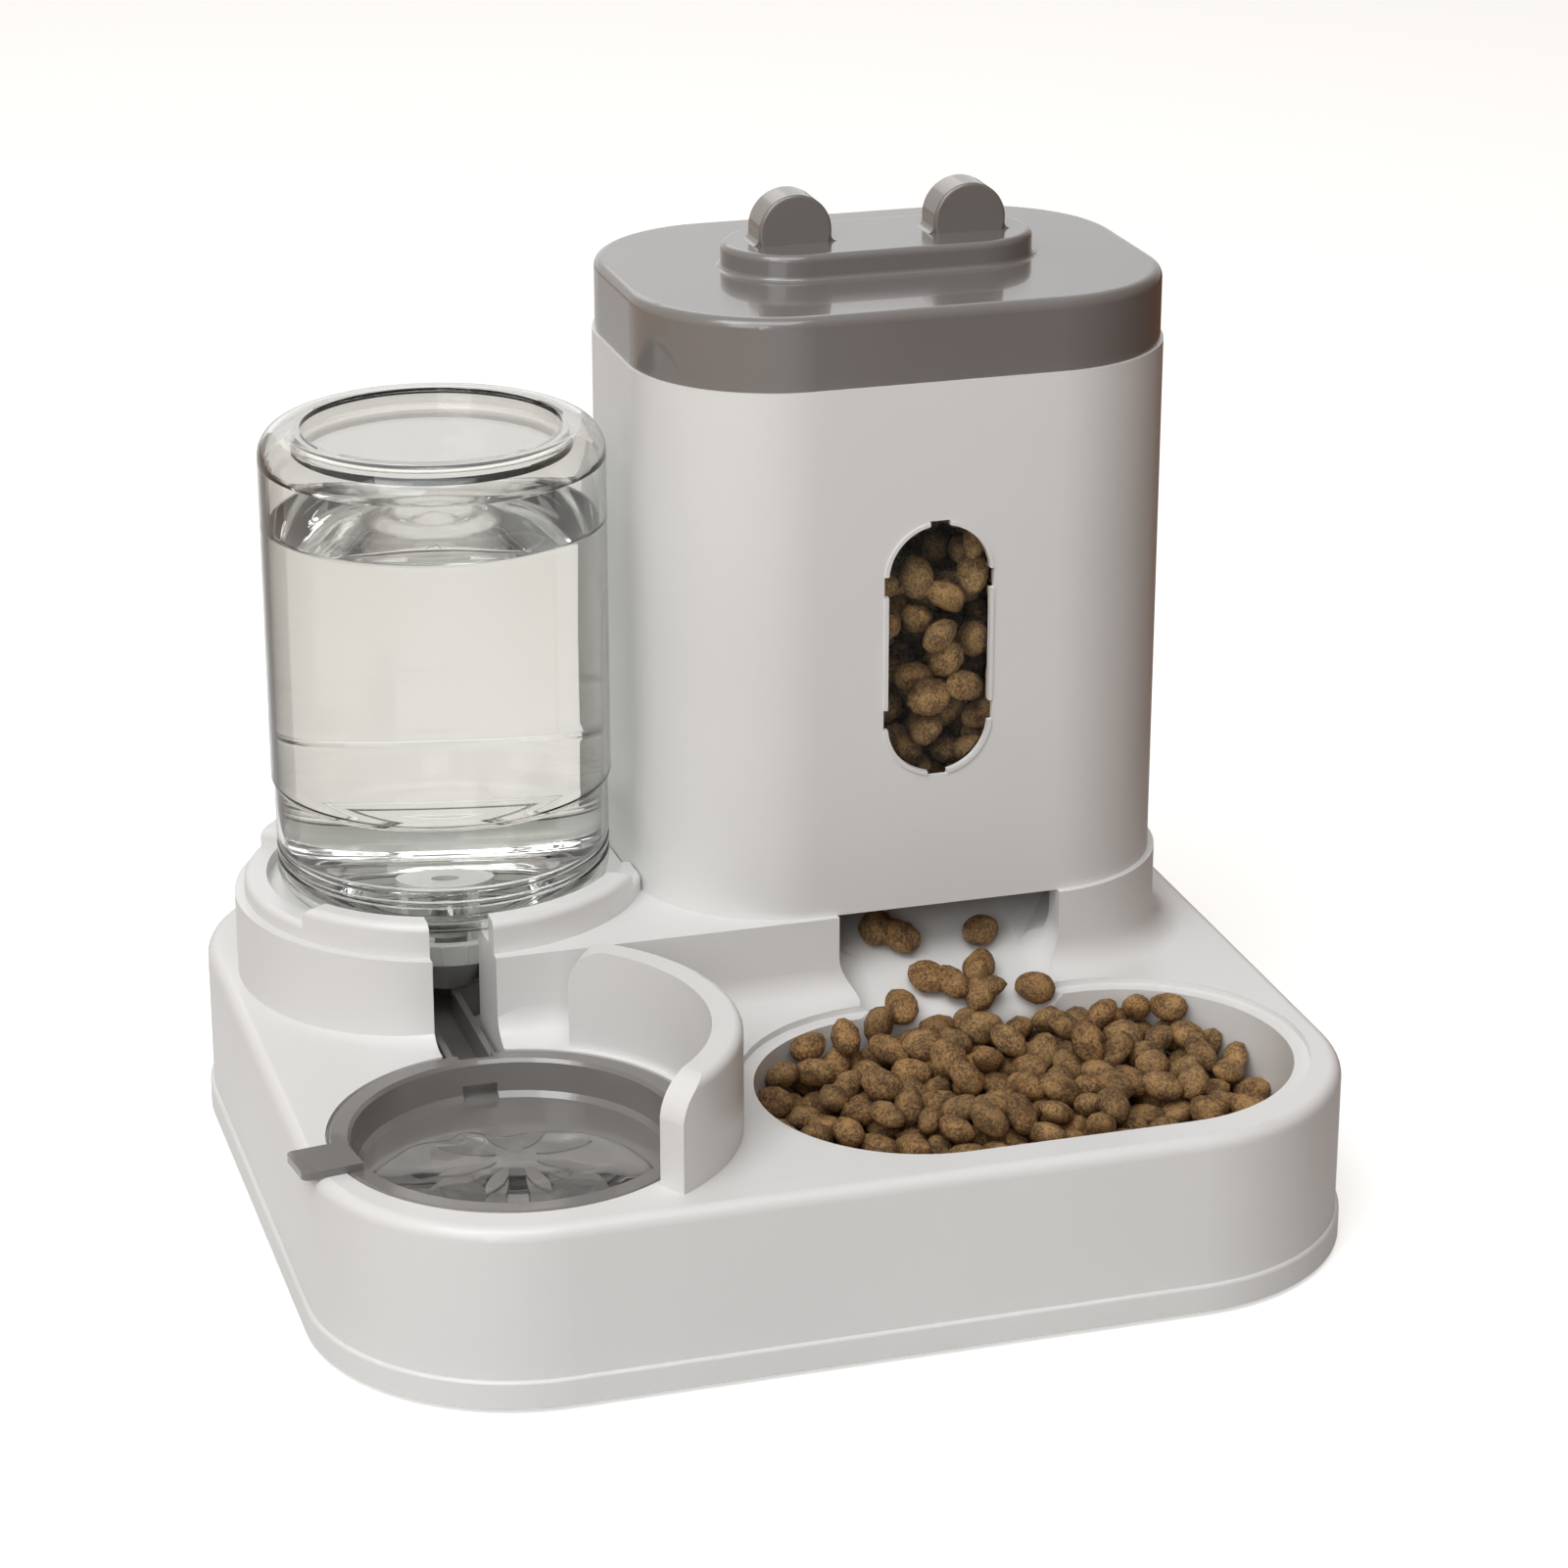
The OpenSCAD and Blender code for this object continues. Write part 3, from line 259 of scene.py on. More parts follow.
def kibbleMaterial(look):
    # baked crust: patchy brown, fine crumb, small pores with painted shade in them; each kibble has
    # its own tone
    material, tree, shader = startMaterial("kibbleCrust")
    patches = addNoise(tree, look["toneScale"], 4.0, 0.6)
    crumb = addNoise(tree, look["grainScale"], 5.0, 0.7)
    pores = tree.nodes.new("ShaderNodeTexVoronoi")
    pores.inputs["Scale"].default_value = look["pitScale"]
    tree.links.new(tree.nodes["Where"].outputs["Object"], pores.inputs["Vector"])
    both = tree.nodes.new("ShaderNodeMix")
    both.inputs["Factor"].default_value = look["grainShare"]
    tree.links.new(patches.outputs["Fac"], both.inputs["A"])
    tree.links.new(crumb.outputs["Fac"], both.inputs["B"])
    colour = tree.nodes.new("ShaderNodeMix")
    colour.data_type = "RGBA"
    colour.inputs["A"].default_value = look["crust"]
    colour.inputs["B"].default_value = look["crumb"]
    spread = addNode(tree, "ShaderNodeMapRange", From_Min=look["grainSpread"][0],
                     From_Max=look["grainSpread"][1])
    tree.links.new(both.outputs["Result"], spread.inputs["Value"])
    tree.links.new(spread.outputs["Result"], colour.inputs["Factor"])
    tone = tree.nodes.new("ShaderNodeAttribute")
    tone.attribute_name = "tone"
    shade = tree.nodes.new("ShaderNodeMix")
    shade.data_type, shade.blend_type = "RGBA", "MULTIPLY"
    shade.inputs["Factor"].default_value = 1.0
    tree.links.new(colour.outputs["Result"], shade.inputs["A"])
    tree.links.new(tone.outputs["Color"], shade.inputs["B"])
    depth = addNode(tree, "ShaderNodeMapRange", From_Max=look["pitDepth"])
    tree.links.new(pores.outputs["Distance"], depth.inputs["Value"])
    # painted shade: darker colour at the bottom of each pore, from the same depth as the bump
    shadedPits = tree.nodes.new("ShaderNodeMix")
    shadedPits.data_type, shadedPits.blend_type = "RGBA", "MIX"
    shadedPits.inputs["A"].default_value = look["pitShade"]
    tree.links.new(depth.outputs["Result"], shadedPits.inputs["Factor"])
    tree.links.new(shade.outputs["Result"], shadedPits.inputs["B"])
    tree.links.new(shadedPits.outputs["Result"], shader.inputs["Base Color"])
    rough = rangeByNoise(tree, crumb, 0.62, 0.82)
    tree.links.new(rough.outputs["Result"], shader.inputs["Roughness"])
    pits = addBump(tree, depth.outputs["Result"], 0.35, 0.0004)
    grain = addBump(tree, crumb.outputs["Fac"], 0.9, 0.0006, pits)
    tree.links.new(grain.outputs["Normal"], shader.inputs["Normal"])
    return material


kibbleCrust = kibbleMaterial(kibbleLook)

# the spaces that the kibble lies in, as the source has them, row frame
foodBowl = {"x": 60.23, "y": -69.6, "length": 64.5, "radius": 46.0, "floor": 14.5,
            "round": 16.0, "rampFrom": 20}
ramp = {"x": 57.48, "half": 34.0, "footY": -23.6, "footZ": 48.9, "slope": math.radians(26),
        "lead": 4}
hopperRoom = {"x": 53.48, "y": 51.0, "width": 155.0, "depth": 115.0, "corner": 40.5,
              "sideSlope": math.radians(30), "shoulder": 10, "mouthY": -2.4, "mouthZ": 59.2,
              # the front of the pile in the mouth: how far back, its lean, up to which height
              "pileBack": 26, "pileLean": 0.25, "pileTop": 84}


def rampHeight(y):
    return ramp["footZ"] + (y - ramp["footY"]) * math.tan(ramp["slope"])


def holdInBowl(p, r):
    # pushes balls back over the bowl's floor and inside its wall
    cx, cy, half = foodBowl["x"], foodBowl["y"], foodBowl["length"] / 2
    radius, fillet = foodBowl["radius"], foodBowl["round"]
    near = np.clip(p[:, 0], cx - half, cx + half)
    dx, dy = p[:, 0] - near, p[:, 1] - cy
    out = np.hypot(dx, dy) + 1e-9
    overRamp = ((np.abs(p[:, 0] - ramp["x"]) < ramp["half"] - r)
                & (p[:, 1] > cy + foodBowl["rampFrom"])
                & (p[:, 2] > ramp["footZ"] + 0.5 * r))
    wall = (out > radius - r) & ~overRamp
    scale = np.where(wall, (radius - r) / out, 1.0)
    p[:, 0] = near + dx * scale
    p[:, 1] = cy + dy * scale
    out = np.where(wall, radius - r, out)
    inner, centreZ = radius - fillet, foodBowl["floor"] + fillet
    corner = (out > inner) & (p[:, 2] < centreZ)
    reach = np.hypot(out - inner, centreZ - p[:, 2]) + 1e-9
    low = corner & (reach > fillet - r)
    k = np.where(low, (fillet - r) / reach, 1.0)
    newOut = np.where(low, inner + (out - inner) * k, out)
    p[:, 2] = np.where(low, centreZ - (centreZ - p[:, 2]) * k, p[:, 2])
    p[:, 0] = near + (p[:, 0] - near) * newOut / np.maximum(out, 1e-9)
    p[:, 1] = cy + (p[:, 1] - cy) * newOut / np.maximum(out, 1e-9)
    p[:, 2] = np.maximum(p[:, 2], foodBowl["floor"] + r)
    onRamp = overRamp & (p[:, 1] > ramp["footY"] - ramp["lead"])
    need = rampHeight(p[:, 1]) + r / math.cos(ramp["slope"])
    p[:, 2] = np.where(onRamp, np.maximum(p[:, 2], need), p[:, 2])


def holdInHopper(p, r):
    # balls stay between the hopper's walls and over its sloping floor
    room = hopperRoom
    hx = room["width"] / 2 - room["corner"]
    hy = room["depth"] / 2 - room["corner"]
    x, y = p[:, 0] - room["x"], p[:, 1] - room["y"]
    nx, ny = np.clip(x, -hx, hx), np.clip(y, -hy, hy)
    dx, dy = x - nx, y - ny
    out = np.hypot(dx, dy) + 1e-9
    limit = room["corner"] - r
    k = np.where(out > limit, limit / out, 1.0)
    p[:, 0] = room["x"] + nx + dx * k
    p[:, 1] = room["y"] + ny + dy * k
    floor = rampHeight(p[:, 1]) + r / math.cos(ramp["slope"])
    beside = np.abs(p[:, 0] - ramp["x"]) - (ramp["half"] - room["shoulder"])
    side = room["mouthZ"] + beside * math.tan(room["sideSlope"]) + r / math.cos(room["sideSlope"])
    p[:, 2] = np.maximum(p[:, 2], np.where(beside > 0, np.maximum(floor, side), floor))
    # the pile's own slope inside the mouth
    rise = (p[:, 2] - rampHeight(room["mouthY"])) * -room["pileLean"]
    gap = (room["mouthY"] + room["pileBack"] + r + rise) - p[:, 1]
    low = (p[:, 2] < room["pileTop"]) & (gap > 0)
    p[:, 1] = np.where(low, p[:, 1] + gap, p[:, 1])


def settle(p, r, hold, steps, drop, back=0.0):
    # lets balls sink and push each other apart until the pile is at rest
    limit = r[:, None] + r[None, :]
    slowing, pushShare = 0.8, 0.42
    for step in range(steps):
        p[:, 2] -= drop * (1 - slowing * step / steps)
        p[:, 1] += back * drop * (1 - slowing * step / steps)  # it heaps up towards the ramp
        for sweep in range(2):
            gap = p[:, None, :] - p[None, :, :]
            dist = np.sqrt(np.einsum("ijk,ijk->ij", gap, gap)) + 1e-6
            push = np.clip(limit - dist, 0, None)
            np.fill_diagonal(push, 0)
            p += np.einsum("ij,ijk->ik", push / dist, gap) * pushShare
            hold(p, r)
    return p


def kibbleShape(level):
    ball = bmesh.new()
    bmesh.ops.create_icosphere(ball, subdivisions=level, radius=1.0)
    verts = np.array([v.co[:] for v in ball.verts])
    faces = np.array([[v.index for v in f.verts] for f in ball.faces])
    ball.free()
    return verts, faces


# half axes of a kibble whose ball has ballRadius, the swells and lumps of its crust, its tones
kibbleForm = {
    "ballRadius": 5.0, "long": (6.2, 7.1), "wide": (4.5, 5.2), "thick": (3.6, 4.2),
    "swell": 0.12, "swellScale": 1.4, "lump": 0.06, "lumpScale": 3.4, "bend": 0.10,
    "tone": (0.78, 1.12), "warmth": 0.04,
}


def kibblePiece(name, centres, axes, turns, tones, level, seed):
    # one mesh of many kibbles: flattened, slightly lopsided ovals with a lumpy crust
    form = kibbleForm
    unit, faces = kibbleShape(level)
    rng = random.Random(seed)
    verts, tris, shades = [], [], []
    for i, centre in enumerate(centres):
        start = len(verts)
        side = Vector((rng.uniform(-9, 9), rng.uniform(-9, 9), rng.uniform(-9, 9)))
        bend = rng.uniform(-form["bend"], form["bend"])
        for u in unit:
            d = Vector(u)
            crust = (1 + form["swell"] * noise.noise(d * form["swellScale"] + side)
                     + form["lump"] * noise.noise(d * form["lumpScale"] + side))
            v = Vector((d.x * axes[i][0], d.y * axes[i][1], d.z * axes[i][2])) * crust
            v.z += bend * (v.x * v.x / axes[i][0] - 0.33 * axes[i][0])
            v = turns[i] @ v
            verts.append((v.x + centre[0], v.y + centre[1], v.z + centre[2]))
        tris.extend((faces + start).tolist())
        shades.extend([tones[i]] * len(unit))
    piece = addMesh(name, verts, tris, "dispenser")
    layer = piece.data.attributes.new("tone", "FLOAT_COLOR", "POINT")
    flat = np.ones((len(shades), 4), np.float32)
    flat[:, :3] = np.array(shades, np.float32)
    layer.data.foreach_set("color", flat.ravel())
    dress(piece, kibbleCrust)
    return piece


def kibbleTones(count, rng):
    tones = []
    for i in range(count):
        v = rng.uniform(*kibbleForm["tone"])
        warm = rng.uniform(-kibbleForm["warmth"], kibbleForm["warmth"])
        tones.append((v * (1 + warm), v, v * (1 - warm)))
    return tones


def kibbleTurns(count, rng, tilt):
    turns = []
    for i in range(count):
        spin = Matrix.Rotation(rng.uniform(0, 2 * math.pi), 3, "Z")
        lean = Matrix.Rotation(rng.gauss(0, tilt), 3, "X")
        tip = Matrix.Rotation(rng.gauss(0, tilt), 3, "Y")
        turns.append(spin @ lean @ tip)
    return turns


def kibbleAxes(r, rng):
    axes = []
    for radius in r:
        k = radius / kibbleForm["ballRadius"]
        axes.append(tuple(k * rng.uniform(*kibbleForm[side]) for side in ("long", "wide", "thick")))
    return axes


bowlKibble = {"count": 465, "radius": (4.5, 5.1), "seed": 11, "steps": 130, "tilt": 0.45,
              "drop": 1.1, "back": 0.15,
              # where the balls start, about the ramp's middle and the bowl's
              "startX": (-62, 66), "startY": (-26, 34), "startZ": 30, "startHeight": 85}


def fillBowl(look):
    rng = random.Random(look["seed"])
    r = np.array([rng.uniform(*look["radius"]) for i in range(look["count"])])
    p = np.array([[ramp["x"] + rng.uniform(*look["startX"]),
                   foodBowl["y"] + rng.uniform(*look["startY"]),
                   look["startZ"] + rng.uniform(0, look["startHeight"])]
                  for i in range(look["count"])])
    settle(p, r, holdInBowl, look["steps"], look["drop"], look["back"])
    return kibblePiece("bowl_kibble", p, kibbleAxes(r, rng), kibbleTurns(len(p), rng, look["tilt"]),
                       kibbleTones(len(p), rng), 2, look["seed"])


hopperKibble = {"count": 1500, "radius": (4.9, 5.5), "seed": 23, "steps": 110, "tilt": 1.2,
                "drop": 1.2, "startX": (-70, 70), "startY": (-50, 50), "startZ": 75,
                "startHeight": 210, "seenDepth": 26}


def fillHopper(look):
    rng = random.Random(look["seed"])
    room = hopperRoom
    r = np.array([rng.uniform(*look["radius"]) for i in range(look["count"])])
    p = np.array([[room["x"] + rng.uniform(*look["startX"]),
                   room["y"] + rng.uniform(*look["startY"]),
                   look["startZ"] + rng.uniform(0, look["startHeight"])]
                  for i in range(look["count"])])
    settle(p, r, holdInHopper, look["steps"], look["drop"])
    axes, turns = kibbleAxes(r, rng), kibbleTurns(len(p), rng, look["tilt"])
    tones = kibbleTones(len(p), rng)
    # seen through the window
    front = p[:, 1] < room["y"] - room["depth"] / 2 + look["seenDepth"]
    for name, chosen, level in (("hopper_kibble_front", front, 2), ("hopper_kibble", ~front, 1)):
        at = [i for i in range(len(p)) if chosen[i]]
        kibblePiece(name, p[at], [axes[i] for i in at], [turns[i] for i in at],
                    [tones[i] for i in at], level, look["seed"])
    print("hopper filled up to", round(float(p[:, 2].max())), "mm")


# kibble that has come to rest on the ramp: x, y in the row frame, turn in degrees
rampKibble = {
    "at": [(39.7, 4.5, 80), (45.9, 0.5, -45), (70.5, -0.8, 20), (49.9, -14.1, -35),
           (66.0, -12.9, 55), (63.4, -21.8, 60), (80.3, -22.3, -30), (38.9, -23.0, 85)],
    "axes": (6.3, 4.9, 4.0), "seed": 5,
}


def scatterOnRamp(look):
    rng = random.Random(look["seed"])
    centres, turns, axes = [], [], []
    for x, y, turn in look["at"]:
        a = tuple(v * rng.uniform(0.95, 1.05) for v in look["axes"])
        lift = a[2] / math.cos(ramp["slope"])
        centres.append((x, y, rampHeight(y) + lift))
        turns.append(Matrix.Rotation(ramp["slope"], 3, "X")
                     @ Matrix.Rotation(math.radians(turn), 3, "Z"))
        axes.append(a)
    return kibblePiece("ramp_kibble", centres, axes, turns, kibbleTones(len(axes), rng), 3,
                       look["seed"])


fillBowl(bowlKibble)
scatterOnRamp(rampKibble)
fillHopper(hopperKibble)
print("kibble in place")


# water

bottleWater = {
    "x": -79.82, "y": 51.0, "level": 191.5, "sides": 96,
    # radius and height of the bottle's inner wall, from the neck up
    "wall": [(21.0, 66.2), (23.3, 67.0), (23.35, 77.0), (23.8, 79.6), (25.5, 81.4),
             (40.5, 81.6), (43.2, 82.2), (45.4, 84.0), (46.6, 86.6), (46.85, 89.5),
             (46.85, 112.0), (47.1, 113.6), (47.6, 115.4), (47.75, 117.5), (47.75, 150.0),
             (47.75, 190.6), (47.9, 191.9)],
    "ripples": [(0.0, 1.3), (2.5, 0.9), (5.0, -0.4), (7.5, -0.9), (10.0, 0.5), (12.5, 1.3),
                (15.0, 0.7), (17.5, -0.2), (20.5, -0.35), (24.0, 0.05), (30.0, 0.0),
                (38.0, 0.0), (44.0, 0.05), (46.8, 0.35)],
}


def turned(name, profile, x, y, sides, body):
    # revolves a profile of (radius, height) and closes both of its ends on the axis
    verts, faces = [], []
    for radius, height in profile:
        for k in range(sides):
            a = 2 * math.pi * k / sides
            verts.append((x + radius * math.cos(a), y + radius * math.sin(a), height))
    for i in range(len(profile) - 1):
        for k in range(sides):
            n = (k + 1) % sides
            faces.append((i * sides + k, i * sides + n, (i + 1) * sides + n, (i + 1) * sides + k))
    verts.append((x, y, profile[0][1]))
    for k in range(sides):
        faces.append((len(verts) - 1, (k + 1) % sides, k))
    verts.append((x, y, profile[-1][1]))
    last = (len(profile) - 1) * sides
    for k in range(sides):
        faces.append((len(verts) - 1, last + k, last + (k + 1) % sides))
    return addMesh(name, verts, faces, body)


def fillBottle(look):
    profile = list(look["wall"])
    for radius, rise in reversed(look["ripples"]):
        profile.append((max(radius, 0.6), look["level"] + rise))
    piece = turned("bottle_water", profile, look["x"], look["y"], look["sides"], "dispenser")
    dress(piece, water)
    return piece


fillBottle(bottleWater)

bowlWater = {
    "x": -87.82, "y": -69.6, "floor": 43.0, "depth": 2.0, "sides": 144, "rings": 14,
    # its rounded rim: share of the radius, share of the depth
    "rim": [(1.0, 0.02), (1.012, 0.35), (1.0, 0.7), (0.975, 0.93), (0.94, 1.0)],
    "ripple": 0.12, "ripplePace": 0.55,
    # outer edge of the pool: angle in degrees, radius
    "edge": [(0, 30), (18, 25), (42, 19), (60, 15.5), (79, 13.6), (98, 13), (110, 18),
             (121, 24), (135, 20), (149, 31), (163, 33), (178, 41), (200, 41), (222, 42),
             (258, 42), (295, 42), (318, 42.5), (333, 39), (345, 34)],
}


def pourPool(look):
    # a flat pool with a rounded, wandering edge and faint ripples from the drip
    angles = [a for a, r in look["edge"]] + [360]
    radii = [r for a, r in look["edge"]] + [look["edge"][0][1]]

    def edgeAt(degrees):
        return float(np.interp(degrees % 360, angles, radii))

    def smoothEdge(degrees):
        weights = ((-8, 1), (-4, 2), (0, 3), (4, 2), (8, 1))
        return sum(edgeAt(degrees + d) * w for d, w in weights) / 9

    verts, faces = [], []
    sides, rings = look["sides"], look["rings"]
    inside = look["rim"][-1][0]
    levels = look["rim"] + [(inside * (1 - k / rings), 1.0) for k in range(1, rings)]
    for share, rise in levels:
        for k in range(sides):
            a = 360 * k / sides
            reach = smoothEdge(a) * share
            wave = look["ripple"] * math.sin(reach * look["ripplePace"]) * (share < 0.9)
            verts.append((look["x"] + reach * math.cos(math.radians(a)),
                          look["y"] + reach * math.sin(math.radians(a)),
                          look["floor"] + look["depth"] * rise + wave))
    for i in range(len(levels) - 1):
        for k in range(sides):
            n = (k + 1) % sides
            faces.append((i * sides + k, i * sides + n, (i + 1) * sides + n, (i + 1) * sides + k))
    verts.append((look["x"], look["y"], look["floor"] + look["depth"]))
    last = (len(levels) - 1) * sides
    for k in range(sides):
        faces.append((len(verts) - 1, last + k, last + (k + 1) % sides))
    verts.append((look["x"], look["y"], look["floor"] + 0.02))
    for k in range(sides):
        faces.append((len(verts) - 1, (k + 1) % sides, k))
    piece = addMesh("bowl_water", verts, faces, "dispenser")
    dress(piece, water)
    return piece


pourPool(bowlWater)
print("water in place")


# the valve's spring, copied into a piece of its own

def coilSpring():
    node = nodes["valve_spring"]
    verts = [tuple(v.co / mm) for v in node.data.vertices]
    faces = [tuple(polygon.vertices) for polygon in node.data.polygons]
    piece = addMesh("coil_spring", verts, faces, "dispenser")
    dress(piece, brightSteel)
    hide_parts("valve_spring")
    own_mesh(piece)
    return piece


coilSpring()
print("spring in place")


# camera, at the photograph's angle

cameraLook = {"azimuth": -16.82, "elevation": 21.042, "lens": 98.97, "distance": 1247.824,
              "height": 101.5, "across": 8.093, "up": 15.954, "shiftX": 1.4835}


def placeCamera(look):
    a, e = math.radians(look["azimuth"]), math.radians(look["elevation"])
    back = Vector((math.sin(a) * math.cos(e), -math.cos(a) * math.cos(e), math.sin(e)))
    right = Vector((math.cos(a), math.sin(a), 0))
    up = back.cross(right)
    target = Vector((look["shiftX"], 0, look["height"])) + right * look["across"] + up * look["up"]
    data = bpy.data.cameras.new("camera")
    data.lens, data.sensor_width = look["lens"], 36
    data.clip_start, data.clip_end = 0.05, 30
    camera = bpy.data.objects.new("camera", data)
    scene.collection.objects.link(camera)
    camera.location = (target + back * look["distance"]) * mm
    camera.rotation_mode = "QUATERNION"
    camera.rotation_quaternion = Matrix((right, up, back)).transposed().to_quaternion()
    scene.camera = camera


placeCamera(cameraLook)


# studio: pale floor, white surround, large soft lamps; places and sizes in metres

studio = {
    # the floor, and how much light of its own makes it white for the camera
    "floorSize": 6.0, "floorColour": tint(244, 243, 241), "floorLift": 0.56,
    # what the floor throws back at the object, from left to right: warm and darker at the sides
    "floorSpan": (-0.7, 0.7),
    "floorTones": [(0.08, tint(190, 166, 146)), (0.34, tint(208, 208, 208)),
                   (0.56, tint(204, 203, 201)), (0.78, tint(106, 76, 57))],
    # its own light in gloss, and behind clear pieces
    "floorGloss": 0.36, "floorBehind": 0.12,
    # the room from left to right, share of the way and colour: darker and warmer at both ends
    "roomAxis": (0.95, -0.3, 0.0), "roomStrength": 0.5,
    "room": [(0.05, tint(222, 208, 195)), (0.36, tint(252, 252, 252)), (0.51, tint(252, 252, 252)),
             (0.84, tint(118, 86, 62))],
    # grey above the horizon, for rays that the water turns upwards
    "aloft": (0.08, 0.35), "aloftStrength": 0.3,
    # dark card behind the bottle, seen only through clear pieces: it paints a dark refraction into
    # the bottle and its water, and casts no shadow
    "darkRefractionCard": {"at": (-0.22, 0.25, 0.17), "size": (0.20, 0.32), "turn": 35.0,
             "colour": tint(92, 86, 80), "cardNoise": 400.0},
    "matt": 0.9,
    # place, aim, size; watts; colour
    "lamps": {
        "overheadLamp": ((-0.4, -0.75, 1.7), (0, 0, 0.1), (1.5, 1.1), 17.0, tint(249, 252, 255)),
        "leftLamp": ((-1.05, -0.7, 1.6), (0, 0, 0.12), (0.8, 0.8), 5.0, tint(255, 252, 248)),
        "frontLamp": ((-1.25, -1.75, 1.1), (0, 0, 0.12), (1.2, 1.0), 10.6, tint(250, 252, 255)),
        "backLamp": ((0.1, 1.8, 1.3), (0, 0, 0.15), (1.2, 0.8), 2.4, tint(255, 246, 236)),
    },
}


def addMath(tree, operation, *values):
    # each value is a number or another node's output
    node = tree.nodes.new("ShaderNodeMath")
    node.operation = operation
    for socket, value in zip(node.inputs, values):
        if isinstance(value, float):
            socket.default_value = value
        else:
            tree.links.new(value, socket)
    return node.outputs[0]


def seenPlain(tree, path):
    # 1 for rays that see the surround itself, straight or by way of gloss and glass
    total = path.outputs["Is Camera Ray"]
    for name in ("Is Glossy Ray", "Is Transmission Ray"):
        total = addMath(tree, "MAXIMUM", total, path.outputs[name])
    return total


def weigh(tree, path, weights):
    # sum of the ray kinds, each times its weight
    total = 0.0
    for name, weight in weights.items():
        total = addMath(tree, "MULTIPLY_ADD", path.outputs[name], weight, total)
    return total


def forCamera(tree, path, others, colour):
    # the plain colour straight and through clear pieces, the other output's colour for the rest
    pick = tree.nodes.new("ShaderNodeMix")
    pick.data_type = "RGBA"
    pick.inputs["B"].default_value = colour
    tree.links.new(others, pick.inputs["A"])
    clear = weigh(tree, path, {"Is Camera Ray": 1.0, "Is Transmission Ray": 1.0})
    tree.links.new(clear, pick.inputs["Factor"])
    return pick.outputs["Result"]


def spanTones(tree, value, low, high, stops):
    # colour by where the value lies between low and high; stops as share of the way, colour
    share = addNode(tree, "ShaderNodeMapRange", From_Min=low, From_Max=high)
    tree.links.new(value, share.inputs["Value"])
    ramp = tree.nodes.new("ShaderNodeValToRGB")
    marks = ramp.color_ramp.elements
    while len(marks) < len(stops):
        marks.new(0.5)
    for mark, (place, colour) in zip(marks, stops):
        mark.position, mark.color = place, colour
    tree.links.new(share.outputs["Result"], ramp.inputs["Fac"])
    return ramp.outputs["Color"]


def addStage(name, corners, material):
    mesh = bpy.data.meshes.new(name)
    mesh.from_pydata(corners, [], [(0, 1, 2, 3)])
    thing = bpy.data.objects.new(name, mesh)
    scene.collection.objects.link(thing)
    dress(thing, material)
    return thing


def lightRoom(look):
    world = bpy.data.worlds.new("surround")
    world.use_nodes = True
    scene.world = world
    tree = world.node_tree
    path = tree.nodes.new("ShaderNodeLightPath")
    towards = tree.nodes.new("ShaderNodeTexCoord").outputs["Generated"]
    side = tree.nodes.new("ShaderNodeVectorMath")
    side.operation = "DOT_PRODUCT"
    side.inputs[1].default_value = look["roomAxis"]
    tree.links.new(towards, side.inputs[0])
    room = spanTones(tree, side.outputs["Value"], -1.0, 1.0, look["room"])
    light = tree.nodes["Background"]
    light.inputs["Strength"].default_value = look["roomStrength"]
    tree.links.new(room, light.inputs["Color"])

    plain = tree.nodes.new("ShaderNodeBackground")
    tree.links.new(forCamera(tree, path, room, (1, 1, 1, 1)), plain.inputs["Color"])
    parts = tree.nodes.new("ShaderNodeSeparateXYZ")
    tree.links.new(towards, parts.inputs[0])
    low, high = look["aloft"]
    aloft = addNode(tree, "ShaderNodeMapRange", From_Min=low, From_Max=high, To_Min=1.0,
                    To_Max=look["aloftStrength"])
    tree.links.new(parts.outputs["Z"], aloft.inputs["Value"])
    notClear = addMath(tree, "SUBTRACT", 1.0, path.outputs["Is Transmission Ray"])
    strength = addMath(tree, "MAXIMUM", aloft.outputs["Result"], notClear)
    tree.links.new(strength, plain.inputs["Strength"])

    mix = tree.nodes.new("ShaderNodeMixShader")
    tree.links.new(seenPlain(tree, path), mix.inputs["Fac"])
    tree.links.new(light.outputs[0], mix.inputs[1])
    tree.links.new(plain.outputs[0], mix.inputs[2])
    tree.links.new(mix.outputs[0], tree.nodes["World Output"].inputs["Surface"])


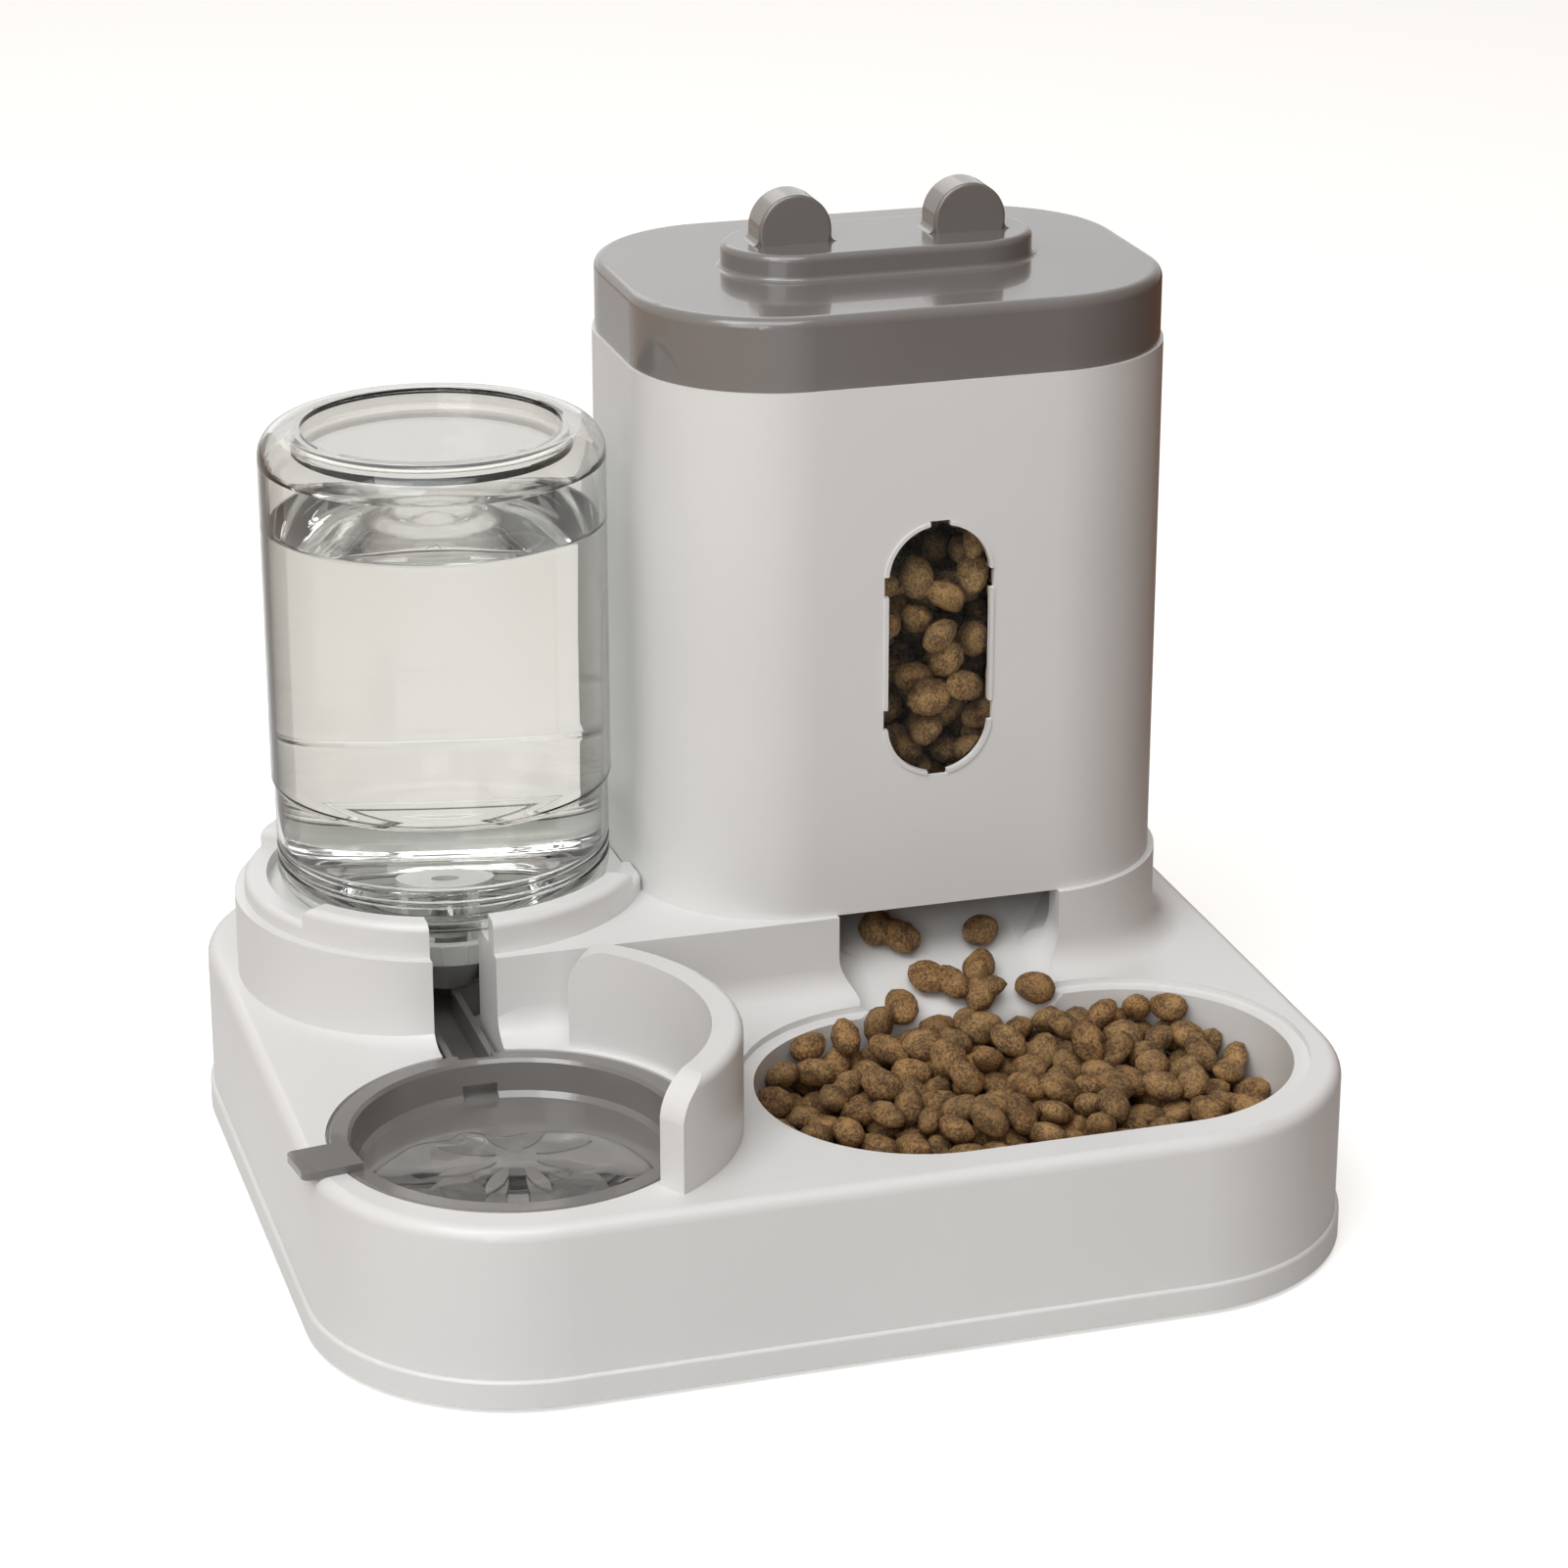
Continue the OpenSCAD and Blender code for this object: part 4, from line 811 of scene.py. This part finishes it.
def layFloor(look):
    material, tree, shader = startMaterial("paleFloor")
    path = tree.nodes.new("ShaderNodeLightPath")
    where = tree.nodes.new("ShaderNodeTexCoord")
    parts = tree.nodes.new("ShaderNodeSeparateXYZ")
    tree.links.new(where.outputs["Object"], parts.inputs[0])
    tones = spanTones(tree, parts.outputs["X"], *look["floorSpan"], look["floorTones"])
    colour = forCamera(tree, path, tones, look["floorColour"])
    tree.links.new(colour, shader.inputs["Base Color"])
    tree.links.new(colour, shader.inputs["Emission Color"])
    shader.inputs["Roughness"].default_value = look["matt"]
    shader.inputs["Specular IOR Level"].default_value = 0.0
    # a ray through a clear piece counts as glossy too
    lift = weigh(tree, path, {"Is Camera Ray": look["floorLift"],
                              "Is Glossy Ray": look["floorGloss"],
                              "Is Transmission Ray": look["floorBehind"] - look["floorGloss"]})
    tree.links.new(lift, shader.inputs["Emission Strength"])
    s = look["floorSize"] / 2
    addStage("floor", [(-s, -s, 0), (s, -s, 0), (s, s, 0), (-s, s, 0)], material)


# painted dark refraction: a dark card that only rays through the bottle and water see
def hangDarkRefractionCard(darkRefractionCard, matt):
    material, tree, shader = startMaterial("paintedDarkRefraction")
    cardNoise = addNoise(tree, darkRefractionCard["cardNoise"], 2.0)
    colour = blendByNoise(tree, cardNoise, 0.3, 0.7, darkRefractionCard["colour"], darkRefractionCard["colour"])
    tree.links.new(colour.outputs["Color"], shader.inputs["Base Color"])
    shader.inputs["Roughness"].default_value = matt
    w, h = darkRefractionCard["size"][0] / 2, darkRefractionCard["size"][1] / 2
    card = addStage("darkRefractionCard", [(-w, 0, -h), (w, 0, -h), (w, 0, h), (-w, 0, h)], material)
    card.location = darkRefractionCard["at"]
    card.rotation_euler = (0, 0, math.radians(darkRefractionCard["turn"]))
    card.visible_camera = card.visible_shadow = False
    card.visible_diffuse = card.visible_glossy = False


def hangLamps(lamps):
    for name, (place, aim, size, watts, colour) in lamps.items():
        data = bpy.data.lights.new(name, "AREA")
        data.shape, data.size, data.size_y = "RECTANGLE", size[0], size[1]
        data.energy, data.color = watts, colour[:3]
        lamp = bpy.data.objects.new(name, data)
        scene.collection.objects.link(lamp)
        lamp.location = place
        lamp.rotation_mode = "QUATERNION"
        lamp.rotation_quaternion = (Vector(aim) - Vector(place)).to_track_quat("-Z", "Y")


lightRoom(studio)
layFloor(studio)
hangDarkRefractionCard(studio["darkRefractionCard"], studio["matt"])
hangLamps(studio["lamps"])
scene.view_settings.view_transform = "Standard"
print("camera and studio in place")
